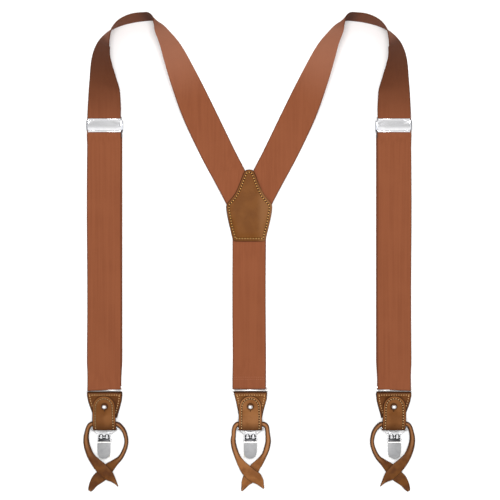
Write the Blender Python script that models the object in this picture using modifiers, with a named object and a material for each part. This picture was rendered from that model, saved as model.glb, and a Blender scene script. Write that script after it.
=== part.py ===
"""Y-back suspenders with convertible ends, laid flat with their front and back straps side by side.

+X is across, +Y runs from the ends up to the shoulders and +Z is up from the surface they lie on.
Every size below is in millimetres and becomes metres in scaled().
"""
import math

import bmesh
import bpy
from mathutils import Matrix, Vector

MM = 0.001
LAYOUT_Y = 4.53           # puts the origin halfway along the laid-out length
GAP = 0.3                 # clearance between pieces that touch

# Elastic webbing
STRAP_HALF = 17.5
ELASTIC = 1.2             # thickness of one ply
FRONT_X = 151.7           # centre line of each front strap
SINGLE_PLY_Z = ELASTIC / 2
DOUBLE_PLY_Z = 1.5 * ELASTIC + GAP

# Shoulder strap: the edge that stays down, as distance from the middle, y and how far the strap is tipped up
SHOULDER_EDGE = (
    (169.2, 132.3, 0), (169.1, 140, 0), (168.9, 150, 2), (168.7, 159, 8), (168.4, 170, 15), (167.5, 182, 30),
    (166.7, 192.2, 40), (165.6, 201, 47), (163.7, 208.8, 49), (161.1, 215.4, 52), (157.8, 221, 54),
    (152.3, 226.9, 62), (144.5, 232.5, 75), (133.5, 237.2, 85), (120.2, 240.4, 90), (106.9, 242, 90),
    (101, 242, 87), (96.5, 240.9, 79), (91.5, 237.8, 72), (85.3, 232.5, 66.5), (70.5, 214.7, 51),
    (51.7, 180.5, 29.5), (33.8, 144.5, 8), (15.2, 106.0, 1), (9.8, 95.4, 0), (4.6, 85.0, 0),
    (-3.5, 68.8, 0), (-13, 49.6, 0),
)
SHOULDER_STEPS = 3        # rows between two of those points
ADJUSTER_PLY_Z = 4.9      # the strap's height inside the adjuster
PATCH_RISE_START = 110.0  # y below which the strap climbs onto the patch
PATCH_RISE_END = 78.0

# Back patch
PATCH_OUTLINE = (
    (0, 85.4), (3.2, 84.8), (5.0, 83.2), (6.2, 80.8), (7.4, 78.0), (10.2, 70.4), (14.2, 61.4), (18.5, 55.2),
    (22.6, 50.6), (23.9, 47.6), (24.0, 44.6), (23.1, 38.2), (20.8, 26.6), (17.8, 15.0), (16.8, 11.6), (15.0, 10.5),
)
PATCH_LEATHER = 1.2
PATCH_BACK_Z = PATCH_LEATHER / 2
BACK_STRAP_TOP_Z = 2.1
BACK_STRAP_RUN = ((42, BACK_STRAP_TOP_Z), (8, BACK_STRAP_TOP_Z), (-14, SINGLE_PLY_Z))    # y, z
TURNED_UNDER = 13.0       # length of the end that is folded under and sewn
STRAP_LEVELS = {"right": 3.6, "left": 5.1}
PATCH_FRONT_Z = 6.6

# Ends, measured from the ring's middle bar
END_Y = -145.7
RING_WIRE = 0.8           # radius
RING_BAR = 0.9            # radius of the middle bar
RING_PITCH = 3.5          # from the middle bar to either outer bar
RING_HALF = 18.6
RING_Z = ELASTIC + GAP + RING_WIRE
FOLD_RADIUS = RING_WIRE + GAP + ELASTIC / 2
LEATHER = 1.2
TAB_BOTTOM = -28.6
TAB_LOW, TAB_HIGH = 0.9, 3.4
STUD_Y = -16.4
STUD_BALL = 2.5
STUD_BALL_Z = 9.2
STUD_NECK = 1.2
STUD_BASE = 3.4
STUD_HOLE = 1.6
FLAP_HOLE = 2.8           # the ball passes this one as the flap opens
FLAP_HALF = 12.2
HANGER_Z = 4.4
FLAP_Z = 5.9
CORD_Y, CORD_Z = -34.6, 4.4
FOLD_Y = -37.8
STRIP_FOLD_RADIUS = 3.2
FLAP_HINGE_Z = CORD_Z + STRIP_FOLD_RADIUS
BAIL_WIRE = 0.6
BAIL_TOP = (13.4, -39.2, 3.6)
BAIL_FOOT = (6.3, -45.9, 2.6)
PIN_Y, PIN_Z = -51.3, 2.9
PIN_RADIUS = 0.6
PIN_HALF = 7.7
CLIP_HALF = 7.0
CLIP_METAL = 0.8
LEVER_TOP, LEVER_BOTTOM = -54.6, -71.4
LEVER_Z = 5.0

# Button ears: x, y, z, width and thickness along the one strip of leather, from end to end
FRONT_EARS = (
    (-15.6, -105.6, 1.1, 3.4, 1.8), (-14.0, -102.6, 1.1, 6.4, 1.9), (-11.3, -97.8, 1.1, 9.0, 1.9),
    (-7.8, -93.6, 1.1, 11.6, 1.9), (-3.0, -89.6, 1.1, 12.6, 1.9), (1.4, -85.2, 1.1, 12.4, 1.9),
    (5.4, -80.8, 1.1, 10.6, 1.9), (10.8, -76.0, 1.3, 7.4, 2.2), (16.8, -70.4, 1.7, 5.2, 3.0),
    (21.3, -61.8, 2.1, 4.6, 3.8), (23.1, -53.0, 2.4, 4.3, 4.4), (21.0, -43.4, 2.8, 4.6, 4.6),
    (16.8, -37.2, 3.9, 4.9, 4.6), (12.9, -34.8, 4.4, 5.0, 4.6), (6.0, -34.6, 4.4, 5.0, 4.6),
    (-6.0, -34.6, 4.4, 5.0, 4.6), (-12.9, -34.8, 4.4, 5.0, 4.6), (-16.0, -37.6, 3.9, 4.9, 4.6),
    (-18.0, -43.0, 2.8, 5.0, 4.4), (-19.1, -50.5, 2.3, 5.9, 4.0), (-18.0, -59.0, 2.1, 6.8, 3.4),
    (-14.2, -68.6, 2.4, 7.8, 2.6), (-8.6, -75.6, 3.2, 10.2, 1.9), (-4.0, -80.2, 3.6, 11.8, 1.9),
    (1.4, -85.6, 3.6, 11.6, 1.9), (5.6, -89.8, 3.6, 10.4, 1.9), (9.0, -93.4, 2.9, 6.4, 1.9),
    (12.0, -97.4, 2.0, 2.8, 1.7), (14.1, -100.8, 1.3, 1.0, 1.5),
)
BACK_EARS = (
    (-9.0, -105.8, 1.1, 1.4, 1.7), (-7.2, -101.9, 1.1, 5.1, 1.9), (-4.7, -96.6, 1.1, 9.6, 1.9),
    (-2.1, -93.0, 1.1, 12.6, 1.9), (1.2, -88.6, 1.1, 12.8, 1.9), (4.5, -81.8, 1.1, 10.8, 1.9),
    (9.4, -75.8, 1.3, 8.4, 2.2), (14.2, -68.6, 1.7, 6.0, 3.0), (17.2, -61.0, 2.1, 6.0, 3.8),
    (18.7, -53.0, 2.4, 5.8, 4.4), (18.2, -46.0, 2.8, 5.0, 4.6), (18.0, -43.4, 2.8, 4.7, 4.6),
    (16.8, -37.2, 3.9, 4.9, 4.6), (12.9, -34.8, 4.4, 5.0, 4.6), (6.0, -34.6, 4.4, 5.0, 4.6),
    (-6.0, -34.6, 4.4, 5.0, 4.6), (-12.9, -34.8, 4.4, 5.0, 4.6), (-16.0, -37.6, 3.9, 4.9, 4.6),
    (-17.3, -42.6, 2.8, 4.7, 4.4), (-17.4, -46.5, 2.8, 4.6, 4.2), (-18.0, -53.0, 2.4, 5.4, 3.8),
    (-16.4, -61.5, 2.1, 5.9, 3.4), (-13.2, -70.0, 2.4, 6.2, 2.6), (-9.2, -76.8, 3.2, 8.6, 1.9),
    (-4.8, -82.4, 3.6, 11.4, 1.9), (1.0, -88.0, 3.6, 12.6, 1.9), (6.0, -91.4, 3.6, 12.4, 1.9),
    (9.4, -95.0, 2.9, 9.4, 1.9), (12.0, -99.4, 2.0, 5.0, 1.8), (14.0, -103.0, 1.3, 1.6, 1.6),
)

# Adjuster, measured from the middle of its plate
ADJUSTER_Y = 132.0
ADJUSTER_HALF = (18.7, 6.9)
ADJUSTER_METAL = 0.8
PLATE_Z = 5.8
EAR_INNER = 18.1
HEM_BAR = (-4.5, 2.0)     # y, z
HEM_BAR_RADIUS = 0.5
LEVER_PIVOT = (1.5, 2.4)  # y, z
LEVER_STUB = 0.7

ELASTIC_LOOK = ((0.29, 0.092, 0.042), 0.85, 0.0)
LEATHER_LOOK = ((0.27, 0.108, 0.036), 0.5, 0.0)
DARK_LEATHER_LOOK = ((0.17, 0.062, 0.018), 0.45, 0.0)
NICKEL_LOOK = ((0.72, 0.72, 0.74), 0.18, 1.0)
SATIN_LOOK = ((0.55, 0.55, 0.55), 0.4, 1.0)
PLASTIC_LOOK = ((0.6, 0.58, 0.52), 0.5, 0.0)


def collection(name):
    made = bpy.data.collections.new(name)
    bpy.context.scene.collection.children.link(made)
    return made


for old in list(bpy.data.objects):
    bpy.data.objects.remove(old)
PARTS = collection("suspenders")
CUTTERS = collection("cutters")


class Body:
    """A group of pieces that move together: an empty on their joint's axis."""

    def __init__(self, name, pivot, parent=None):
        self.pivot = scaled(pivot)
        self.empty = bpy.data.objects.new(name, None)
        self.empty.empty_display_size = 5 * MM
        PARTS.objects.link(self.empty)
        self.empty.location = self.pivot
        if parent:
            self.empty.parent = parent.empty
            self.empty.location = self.pivot - parent.pivot

    def take(self, piece):
        piece.data.transform(Matrix.Translation(-self.pivot))
        piece.parent = self.empty
        return piece


def scaled(point):
    """A layout point in millimetres as a place in metres."""
    x, y, z = point
    return Vector((x, y + LAYOUT_Y, z)) * MM


def finish(piece, body, look, smooth=False):
    """Gives a piece its material, its shading and its place on a body."""
    colour, roughness, metallic = look
    material = bpy.data.materials.new(piece.name)
    material.use_nodes = True
    shader = material.node_tree.nodes["Principled BSDF"]
    shader.inputs["Base Color"].default_value = (*colour, 1)
    shader.inputs["Roughness"].default_value = roughness
    shader.inputs["Metallic"].default_value = metallic
    piece.data.materials.append(material)
    if smooth:
        piece.data.shade_smooth()
        piece.data.set_sharp_from_angle(angle=math.radians(40))
    return body.take(piece)


def mesh_object(name, bm, group=PARTS):
    mesh = bpy.data.meshes.new(name)
    bm.to_mesh(mesh)
    bm.free()
    made = bpy.data.objects.new(name, mesh)
    group.objects.link(made)
    return made


def box(name, low, high, group=PARTS):
    low, high = scaled(low), scaled(high)
    bm = bmesh.new()
    size = Matrix.Diagonal((*(high - low), 1))
    bmesh.ops.create_cube(bm, size=1, matrix=Matrix.Translation((low + high) / 2) @ size)
    return mesh_object(name, bm, group)


def rod(name, start, end, radius, segments=16, group=PARTS):
    start, end = scaled(start), scaled(end)
    turn = (end - start).to_track_quat("Z", "Y").to_matrix().to_4x4()
    bm = bmesh.new()
    bmesh.ops.create_cone(
        bm, cap_ends=True, segments=segments, radius1=radius * MM, radius2=radius * MM,
        depth=(end - start).length, matrix=Matrix.Translation((start + end) / 2) @ turn,
    )
    return mesh_object(name, bm, group)


def mesh_from_curve(made, group):
    """The curve object as a closed mesh object of the same name."""
    bpy.context.view_layer.update()
    name = made.name
    mesh = bpy.data.meshes.new_from_object(made.evaluated_get(bpy.context.evaluated_depsgraph_get()))
    bpy.data.objects.remove(made)
    bm = bmesh.new()
    bm.from_mesh(mesh)
    bmesh.ops.remove_doubles(bm, verts=bm.verts, dist=0.001 * MM)
    bmesh.ops.recalc_face_normals(bm, faces=bm.faces)
    return mesh_object(name, bm, group)


def flat_solid(name, outlines, low, high, side=False, group=PARTS):
    """Closed outlines filled and given a thickness: drawn in plan, or from the side as (y, z) with side=True."""
    curve = bpy.data.curves.new(name, "CURVE")
    curve.dimensions = "2D"
    curve.fill_mode = "BOTH"
    curve.extrude = (high - low) / 2 * MM
    for outline in outlines:
        spline = curve.splines.new("POLY")
        spline.points.add(len(outline) - 1)
        spline.use_cyclic_u = True
        for point, (a, b) in zip(spline.points, outline):
            a, b = (a + LAYOUT_Y, b) if side else (a, b + LAYOUT_Y)
            point.co = (a * MM, b * MM, 0, 1)
    made = bpy.data.objects.new(name, curve)
    group.objects.link(made)
    made = mesh_from_curve(made, group)
    made.data.transform(Matrix.Translation((0, 0, (low + high) / 2 * MM)))
    if side:
        made.data.transform(Matrix(((0, 0, 1, 0), (1, 0, 0, 0), (0, 1, 0, 0), (0, 0, 0, 1))))
    return made


def wire(name, points, radius, group=PARTS):
    """A closed loop of round wire through the points."""
    curve = bpy.data.curves.new(name, "CURVE")
    curve.dimensions = "3D"
    curve.bevel_depth = radius * MM
    curve.bevel_resolution = 2
    spline = curve.splines.new("POLY")
    spline.points.add(len(points) - 1)
    spline.use_cyclic_u = True
    for point, place in zip(spline.points, points):
        point.co = (*scaled(place), 1)
    made = bpy.data.objects.new(name, curve)
    group.objects.link(made)
    return mesh_from_curve(made, group)


def combine(piece, others, operation, body):
    """Joins or cuts a piece with helper shapes, which move with the same body."""
    for other in others:
        other.hide_render = True
        other.display_type = "WIRE"
        body.take(other)
        modifier = piece.modifiers.new(other.name, "BOOLEAN")
        modifier.operation = operation
        modifier.object = other


def ribbon(name, rows, thickness, group=PARTS):
    """A strip through rows of (one edge, other edge), given its thickness on both sides."""
    bm = bmesh.new()
    edges = [[bm.verts.new(scaled(point)) for point in row] for row in rows]
    for (a, b), (c, d) in zip(edges, edges[1:]):
        bm.faces.new((a, b, d, c))
    made = mesh_object(name, bm, group)
    solid = made.modifiers.new("thickness", "SOLIDIFY")
    solid.thickness = thickness * MM
    solid.offset = 0
    solid.use_even_offset = True
    return made


def straight_rows(centre, stations):
    """Rows across a strip that runs along Y: stations are (y, z, half width)."""
    return [((centre - half, y, z), (centre + half, y, z)) for y, z, half in stations]


def arc(y, z, radius, start, end, step=30):
    """Points on an arc in the YZ plane, angles in degrees from +Y towards +Z."""
    count = max(2, round(abs(end - start) / step))
    angles = [math.radians(start + (end - start) * i / count) for i in range(count + 1)]
    return [(y + radius * math.cos(a), z + radius * math.sin(a)) for a in angles]


def round_end(y_end, half, steps=4):
    """(y, half width) down a half-round end whose outermost point is y_end."""
    angles = [math.pi / 2 * (i + 0.6) / (steps + 0.6) for i in range(steps + 1)]
    return [(y_end - half * (1 - math.cos(a)), half * math.sin(a)) for a in angles]


def smooth_path(points, steps):
    """Catmull-Rom points through rows of numbers."""
    padded = [points[0], *points, points[-1]]
    made = []
    for a, b, c, d in zip(padded, padded[1:], padded[2:], padded[3:]):
        for i in range(steps):
            t = i / steps
            made.append(tuple(
                q + 0.5 * t * (r - p + t * (2 * p - 5 * q + 4 * r - s + t * (3 * (q - r) + s - p)))
                for p, q, r, s in zip(a, b, c, d)
            ))
    return [*made, tuple(points[-1])]


def ease(value, start, end):
    share = min(1, max(0, (value - start) / (end - start)))
    return share * share * (3 - 2 * share)


def shoulder_strap(side, sign, root):
    """Flat at the adjuster, on its edge over the shoulder and flat again where it meets the patch."""
    path = smooth_path(SHOULDER_EDGE, SHOULDER_STEPS)
    level = STRAP_LEVELS[side]
    rows = []
    for i, (x, y, tip) in enumerate(path):
        before, after = path[max(i - 1, 0)], path[min(i + 1, len(path) - 1)]
        along = Vector((after[0] - before[0], after[1] - before[1])).normalized()
        inward = Vector((-along.y, along.x))
        tip = math.radians(min(tip, 90))
        flat_z = SINGLE_PLY_Z * math.cos(tip)
        if y < ADJUSTER_Y + 60 and x > FRONT_X:
            flat_z += (ADJUSTER_PLY_Z - SINGLE_PLY_Z) * (1 - ease(y, ADJUSTER_Y + 8, ADJUSTER_Y + 45))
        if x < FRONT_X / 2:
            flat_z += (level - SINGLE_PLY_Z) * (1 - ease(y, PATCH_RISE_END, PATCH_RISE_START))
        across = 2 * STRAP_HALF * math.cos(tip)
        inner = (sign * (x + across * inward.x), y + across * inward.y)
        rise = 2 * STRAP_HALF * math.sin(tip)
        rows.append(((sign * x, y, flat_z), (*inner, flat_z + rise)))
    strap = ribbon(f"shoulder_strap_{side}", rows, ELASTIC)
    finish(strap, root, ELASTIC_LOOK)


def ring_fold(y_far, z_far):
    """The elastic's way from its upper ply round the ring's top bar to its lower ply, as (y, z)."""
    bar = END_Y + RING_PITCH
    down = [(y_far, z_far), (bar + 18, DOUBLE_PLY_Z), (bar + 8, 3.4)]
    return down + arc(bar, RING_Z, FOLD_RADIUS, 90, 270)


def back_strap(root):
    """From under the patch down to the back ring, where its end is turned under and sewn."""
    stations = [*BACK_STRAP_RUN, *ring_fold(END_Y + 40, SINGLE_PLY_Z)]
    stations += [(END_Y + RING_PITCH + TURNED_UNDER, SINGLE_PLY_Z)]
    rows = straight_rows(0, [(y, z, STRAP_HALF) for y, z in stations])
    finish(ribbon("back_strap", rows, ELASTIC), root, ELASTIC_LOOK)


def back_patch(root):
    right = PATCH_OUTLINE
    left = [(-x, y) for x, y in reversed(right[1:])]
    outline = [*right, *left]
    for name, z in (("patch_back", PATCH_BACK_Z), ("patch_front", PATCH_FRONT_Z)):
        half = PATCH_LEATHER / 2
        finish(flat_solid(name, [outline], z - half, z + half), root, LEATHER_LOOK)


def adjusting_loop(side, x, loop):
    """Both plies below the adjuster: down to the ring, round its bar and back up to a hem on the adjuster's bar."""
    hem_y, hem_z = ADJUSTER_Y + HEM_BAR[0], HEM_BAR[1]
    hem_radius = HEM_BAR_RADIUS + GAP + ELASTIC / 2
    stations = [(ADJUSTER_Y - GAP, ADJUSTER_PLY_Z), (ADJUSTER_Y - 7, ADJUSTER_PLY_Z), (ADJUSTER_Y - 13, 3.9)]
    stations += ring_fold(ADJUSTER_Y - 22, DOUBLE_PLY_Z)
    stations += arc(hem_y, hem_z, hem_radius, -90, 90)
    stations += [(ADJUSTER_Y - 7, 3.35), (ADJUSTER_Y - 13, 2.3)]
    rows = straight_rows(x, [(y, z, STRAP_HALF) for y, z in stations])
    finish(ribbon(f"adjusting_loop_{side}", rows, ELASTIC), loop, ELASTIC_LOOK)


def adjuster(side, x, body, lever_body):
    """A stamped plate over the strap, with ears at its sides for the hem bar and the toothed lever behind."""
    half_x, half_y = ADJUSTER_HALF
    cut = 2.0
    corner = [(half_x, half_y - cut), (half_x - cut, half_y)]
    upper = corner + [(-a, b) for a, b in reversed(corner)]
    outline = upper + [(-a, -b) for a, b in upper]
    outline = [(x + a, ADJUSTER_Y + b) for a, b in outline]
    plate = flat_solid(f"adjuster_plate_{side}", [outline], PLATE_Z, PLATE_Z + ADJUSTER_METAL)
    ear = [(-6.0, 6.2), (-6.0, 1.4), (-5.2, 0.9), (3.4, 0.9), (4.4, 1.9), (4.4, 6.2)]
    ear = [(ADJUSTER_Y + a, b) for a, b in ear]
    joined = []
    for hand in (-1, 1):
        low, high = sorted((x + hand * EAR_INNER, x + hand * half_x))
        joined.append(flat_solid(f"adjuster_ear_{side}_{hand}", [ear], low, high, True, CUTTERS))
    bar_y, bar_z = ADJUSTER_Y + HEM_BAR[0], HEM_BAR[1]
    reach = half_x - GAP
    bar = rod(f"hem_bar_{side}", (x - reach, bar_y, bar_z), (x + reach, bar_y, bar_z),
              HEM_BAR_RADIUS, 12, CUTTERS)
    combine(plate, [*joined, bar], "UNION", body)
    pivot_y, pivot_z = ADJUSTER_Y + LEVER_PIVOT[0], LEVER_PIVOT[1]
    hole = rod(f"lever_hole_{side}", (x - 20, pivot_y, pivot_z), (x + 20, pivot_y, pivot_z),
               LEVER_STUB + GAP, 12, CUTTERS)
    combine(plate, [hole], "DIFFERENCE", body)
    finish(plate, body, NICKEL_LOOK)

    profile = [(-0.1, 1.6), (0.9, 1.0), (8.4, 0.6), (8.4, 1.4), (3.2, 2.2), (2.9, 3.2), (2.1, 3.2), (1.7, 3.8),
               (1.0, 3.1), (0.5, 3.6), (0.1, 3.1), (-0.2, 2.6)]
    profile = [(ADJUSTER_Y + a, b) for a, b in profile]
    half = EAR_INNER - GAP
    lever = flat_solid(f"adjuster_lever_{side}", [profile], x - half, x + half, True)
    stub = rod(f"lever_stub_{side}", (x - half_x + 0.1, pivot_y, pivot_z), (x + half_x - 0.1, pivot_y, pivot_z),
               LEVER_STUB, 12, CUTTERS)
    combine(lever, [stub], "UNION", lever_body)
    finish(lever, lever_body, SATIN_LOOK)


def rounded_loop(half, top, bottom, radius):
    """A rectangle's corners in plan, each turned in a few short steps."""
    centres = [(half - radius, top - radius, 0), (radius - half, top - radius, 90),
               (radius - half, bottom + radius, 180), (half - radius, bottom + radius, 270)]
    return [
        (x + radius * math.cos(math.radians(start + turn)), y + radius * math.sin(math.radians(start + turn)))
        for x, y, start in centres for turn in (0, 30, 60, 90)
    ]


def ring(end, x, body):
    """A three-bar ring: elastic round the top bar, leather round the bottom one."""
    loop = [(x + a, END_Y + b, RING_Z) for a, b in rounded_loop(RING_HALF, RING_PITCH, -RING_PITCH, 1.4)]
    piece = wire(f"ring_{end}", loop, RING_WIRE)
    bar = rod(f"ring_bar_{end}", (x - RING_HALF, END_Y, RING_Z), (x + RING_HALF, END_Y, RING_Z),
              RING_BAR, 12, CUTTERS)
    combine(piece, [bar], "UNION", body)
    finish(piece, body, NICKEL_LOOK, True)


def stud_hole(name, x, radius=STUD_HOLE):
    return rod(name, (x, END_Y + STUD_Y, -2), (x, END_Y + STUD_Y, 15), radius, 16, CUTTERS)


def tab(end, x, body):
    """Leather turned round the ring's bottom bar, both layers sewn together below it."""
    bar = -RING_PITCH
    outer = FOLD_RADIUS + LEATHER / 2
    profile = [(TAB_BOTTOM, TAB_LOW), (-9, TAB_LOW), (-6, 0.2), (bar, 0)]
    profile += arc(bar, RING_Z, outer, -60, 60)
    profile += [(bar, 2 * RING_Z), (-6, 4.2), (-9, TAB_HIGH), (TAB_BOTTOM, TAB_HIGH)]
    profile = [(END_Y + a, b) for a, b in profile]
    bore = arc(END_Y + bar, RING_Z, RING_WIRE + GAP, 0, 330)
    piece = flat_solid(f"tab_{end}", [profile, bore], x - 19, x + 19, True)
    half = [(17.4, 0), (17.4, -4.7), (18.4, -5.8), (18.2, -10), (16.4, -15), (14.8, -20), (13.8, -25),
            (13.2, TAB_BOTTOM + 1.2), (12.0, TAB_BOTTOM + 0.05)]
    outline = [(x + a, END_Y + b) for a, b in half] + [(x - a, END_Y + b) for a, b in reversed(half)]
    shape = flat_solid(f"tab_outline_{end}", [outline], -2, 8, group=CUTTERS)
    combine(piece, [shape], "INTERSECT", body)
    combine(piece, [stud_hole(f"tab_hole_{end}", x)], "DIFFERENCE", body)
    finish(piece, body, LEATHER_LOOK)


def hanger(end, x, body):
    """The strip's back layer, held under the stud, and the fold at its foot that carries the bail."""
    top = [(y, HANGER_Z, half) for y, half in round_end(-9.4, FLAP_HALF - 1)]
    run = [(-29.2, HANGER_Z, 12.0), (-32.0, 1.2, 12.0), (FOLD_Y, 1.2, 12.0)]
    fold = arc(FOLD_Y, CORD_Z, STRIP_FOLD_RADIUS, 270, 108, 27)
    stations = top + run + [(y, z, 10.0) for y, z in fold[1:]]
    rows = straight_rows(x, [(END_Y + y, z, half) for y, z, half in stations])
    piece = ribbon(f"hanger_{end}", rows, LEATHER)
    combine(piece, [stud_hole(f"hanger_hole_{end}", x)], "DIFFERENCE", body)
    finish(piece, body, LEATHER_LOOK)


def flap(end, x, body):
    """The strip's front layer, buttoned over the stud through a keyhole."""
    top = [(y, FLAP_Z, half) for y, half in round_end(-5.1, 11.8)]
    run = [(-24, FLAP_Z, FLAP_HALF), (-32, FLAP_HINGE_Z, FLAP_HALF), (FOLD_Y, FLAP_HINGE_Z, FLAP_HALF)]
    rows = straight_rows(x, [(END_Y + y, z, half) for y, z, half in top + run])
    piece = ribbon(f"snap_flap_{end}", rows, LEATHER)
    hole = stud_hole(f"flap_hole_{end}", x, FLAP_HOLE)
    slit = box(f"flap_slit_{end}", (x - 0.4, END_Y + STUD_Y - 4.6, 3), (x + 0.4, END_Y + STUD_Y, 9), CUTTERS)
    combine(piece, [hole, slit], "DIFFERENCE", body)
    finish(piece, body, LEATHER_LOOK)


def stud(end, x, body):
    """Turned ball stud: base under the tab, neck through the leather and ball above the flap."""
    ball = [
        (STUD_BALL * math.cos(math.radians(a)), STUD_BALL_Z + STUD_BALL * math.sin(math.radians(a)))
        for a in range(90, -61, -15)
    ]
    profile = [(0, ball[0][1]), *ball[1:], (STUD_NECK, 0.6), (STUD_BASE, 0.6), (STUD_BASE, 0), (0, 0)]
    bm = bmesh.new()
    points = [bm.verts.new((r * MM, 0, z * MM)) for r, z in profile]
    for pair in zip(points, points[1:]):
        bm.edges.new(pair)
    piece = mesh_object(f"stud_{end}", bm)
    turned = piece.modifiers.new("turned", "SCREW")
    turned.steps = turned.render_steps = 14
    turned.use_merge_vertices = True
    turned.merge_threshold = 0.00001
    turned.use_smooth_shade = True
    finish(piece, body, NICKEL_LOOK)
    piece.location = scaled((x, END_Y + STUD_Y, 0)) - body.pivot
    piece.data.transform(Matrix.Translation(body.pivot))


def bail(end, x, body):
    """Closed wire: top bar in the strip's fold, bottom bar in the clip."""
    (top_x, top_y, top_z), (foot_x, foot_y, foot_z) = BAIL_TOP, BAIL_FOOT
    right = [(top_x - 0.9, top_y, top_z), (top_x, top_y - 0.5, top_z), (top_x - 0.3, top_y - 1.1, top_z - 0.1),
             (foot_x + 0.5, foot_y + 0.4, foot_z), (foot_x - 0.5, foot_y, foot_z)]
    left = [(-a, b, c) for a, b, c in reversed(right)]
    loop = [(x + a, END_Y + b, c) for a, b, c in right + left]
    finish(wire(f"bail_{end}", loop, BAIL_WIRE), body, NICKEL_LOOK, True)


def clip(end, x, body, lever_body):
    """Spring-lever clip: stamped body with cheeks, hinge pin, toothed jaw pad and the lever that closes it."""
    metal = CLIP_METAL
    back = box(f"clip_body_{end}", (x - 6.4, END_Y - 71, 0.3), (x + 6.4, END_Y - 43.6, 0.3 + metal))
    front = [(-6.6, -49.2), (6.6, -49.2), (6.6, -45.9), (5.9, -44.4), (4.4, -43.6),
             (-4.4, -43.6), (-5.9, -44.4), (-6.6, -45.9)]
    front = [(x + a, END_Y + b) for a, b in front]
    face = flat_solid(f"clip_face_{end}", [front], 4.0, 4.0 + metal, group=CUTTERS)
    lip = box(f"clip_lip_{end}", (x - 3.6, END_Y - 44.4, 0.4), (x + 3.6, END_Y - 43.6, 4.4), CUTTERS)
    joined = [face, lip]
    for hand in (-1, 1):
        low, high = sorted((x + hand * (CLIP_HALF - metal), x + hand * CLIP_HALF))
        cheek = [(-54.2, 0.3), (-47.4, 0.3), (-47.4, 4.8), (-52.4, 4.8), (-54.2, 3.4)]
        cheek = [(END_Y + a, b) for a, b in cheek]
        joined.append(flat_solid(f"clip_cheek_{end}_{hand}", [cheek], low, high, True, CUTTERS))
    combine(back, joined, "UNION", body)
    cuts = [rod(f"pin_hole_{end}", (x - 9, END_Y + PIN_Y, PIN_Z), (x + 9, END_Y + PIN_Y, PIN_Z),
                PIN_RADIUS + GAP, 12, CUTTERS)]
    for hand in (-1, 1):
        cuts.append(box(f"clip_window_{end}_{hand}", (x + hand * 2.9 - 1.5, END_Y - 50, 3.5),
                        (x + hand * 2.9 + 1.5, END_Y - 46.6, 5.5), CUTTERS))
    combine(back, cuts, "DIFFERENCE", body)
    finish(back, body, NICKEL_LOOK)

    pin = rod(f"clip_pin_{end}", (x - PIN_HALF, END_Y + PIN_Y, PIN_Z), (x + PIN_HALF, END_Y + PIN_Y, PIN_Z),
              PIN_RADIUS, 12)
    finish(pin, body, NICKEL_LOOK, True)

    teeth = [(-70.4, 1.4), (-58.0, 1.4)]
    for i in range(5):
        teeth += [(-59.4 - 2.2 * i, 2.5), (-60.2 - 2.2 * i, 1.9)]
    teeth = [(END_Y + a, b) for a, b in teeth]
    finish(flat_solid(f"jaw_pad_{end}", [teeth], x - 5.6, x + 5.6, True), body, PLASTIC_LOOK)

    half = [(6.9, LEVER_TOP), (6.9, -65), (6.2, -68.6), (4.6, -70.4), (2.4, LEVER_BOTTOM + 0.2)]
    outline = [(x + a, END_Y + b) for a, b in half] + [(x - a, END_Y + b) for a, b in reversed(half)]
    lever = flat_solid(f"clip_lever_{end}", [outline], LEVER_Z, LEVER_Z + metal)
    barrel = arc(PIN_Y, PIN_Z, 1.7, -150, 60) + [(-54.7, 5.6), (-57.5, 5.2), (-54.0, 4.0)]
    barrel = [(END_Y + a, b) for a, b in barrel]
    web = flat_solid(f"lever_barrel_{end}", [barrel], x - 5.8, x + 5.8, True, CUTTERS)
    lip = box(f"lever_lip_{end}", (x - 5.4, END_Y - 64, 3.0), (x + 5.4, END_Y - 62.8, 5.4), CUTTERS)
    combine(lever, [web, lip], "UNION", lever_body)
    bore = rod(f"lever_bore_{end}", (x - 9, END_Y + PIN_Y, PIN_Z), (x + 9, END_Y + PIN_Y, PIN_Z),
               PIN_RADIUS + GAP, 12, CUTTERS)
    combine(lever, [bore], "DIFFERENCE", lever_body)
    finish(lever, lever_body, SATIN_LOOK)


def button_ears(end, x, body, mirror):
    """One strip of leather: rolled to a cord behind the flap, flat at its crossed, buttonholed ends."""
    path = smooth_path(BACK_EARS if end == "back" else FRONT_EARS, 2)
    bm = bmesh.new()
    sections = []
    for i, (u, v, z, width, thickness) in enumerate(path):
        before, after = path[max(i - 1, 0)], path[min(i + 1, len(path) - 1)]
        along = (Vector(after[:3]) - Vector(before[:3])).normalized()
        across = Vector((along.y, -along.x, 0)).normalized()
        up = across.cross(along)
        section = []
        for k in range(8):
            angle = math.radians(22.5 + 45 * k)
            spot = Vector((u, v, z)) + across * width / 2 * math.cos(angle) / math.cos(math.radians(22.5))
            spot += up * thickness / 2 * math.sin(angle) / math.cos(math.radians(22.5))
            section.append(bm.verts.new(scaled((x + mirror * spot.x, END_Y + spot.y, spot.z))))
        sections.append(section)
    for one, two in zip(sections, sections[1:]):
        for k in range(8):
            bm.faces.new((one[k], one[(k + 1) % 8], two[(k + 1) % 8], two[k]))
    bm.faces.new(sections[0])
    bm.faces.new(sections[-1])
    bmesh.ops.recalc_face_normals(bm, faces=bm.faces)
    finish(mesh_object(f"button_ears_{end}", bm), body, DARK_LEATHER_LOOK, True)


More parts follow.
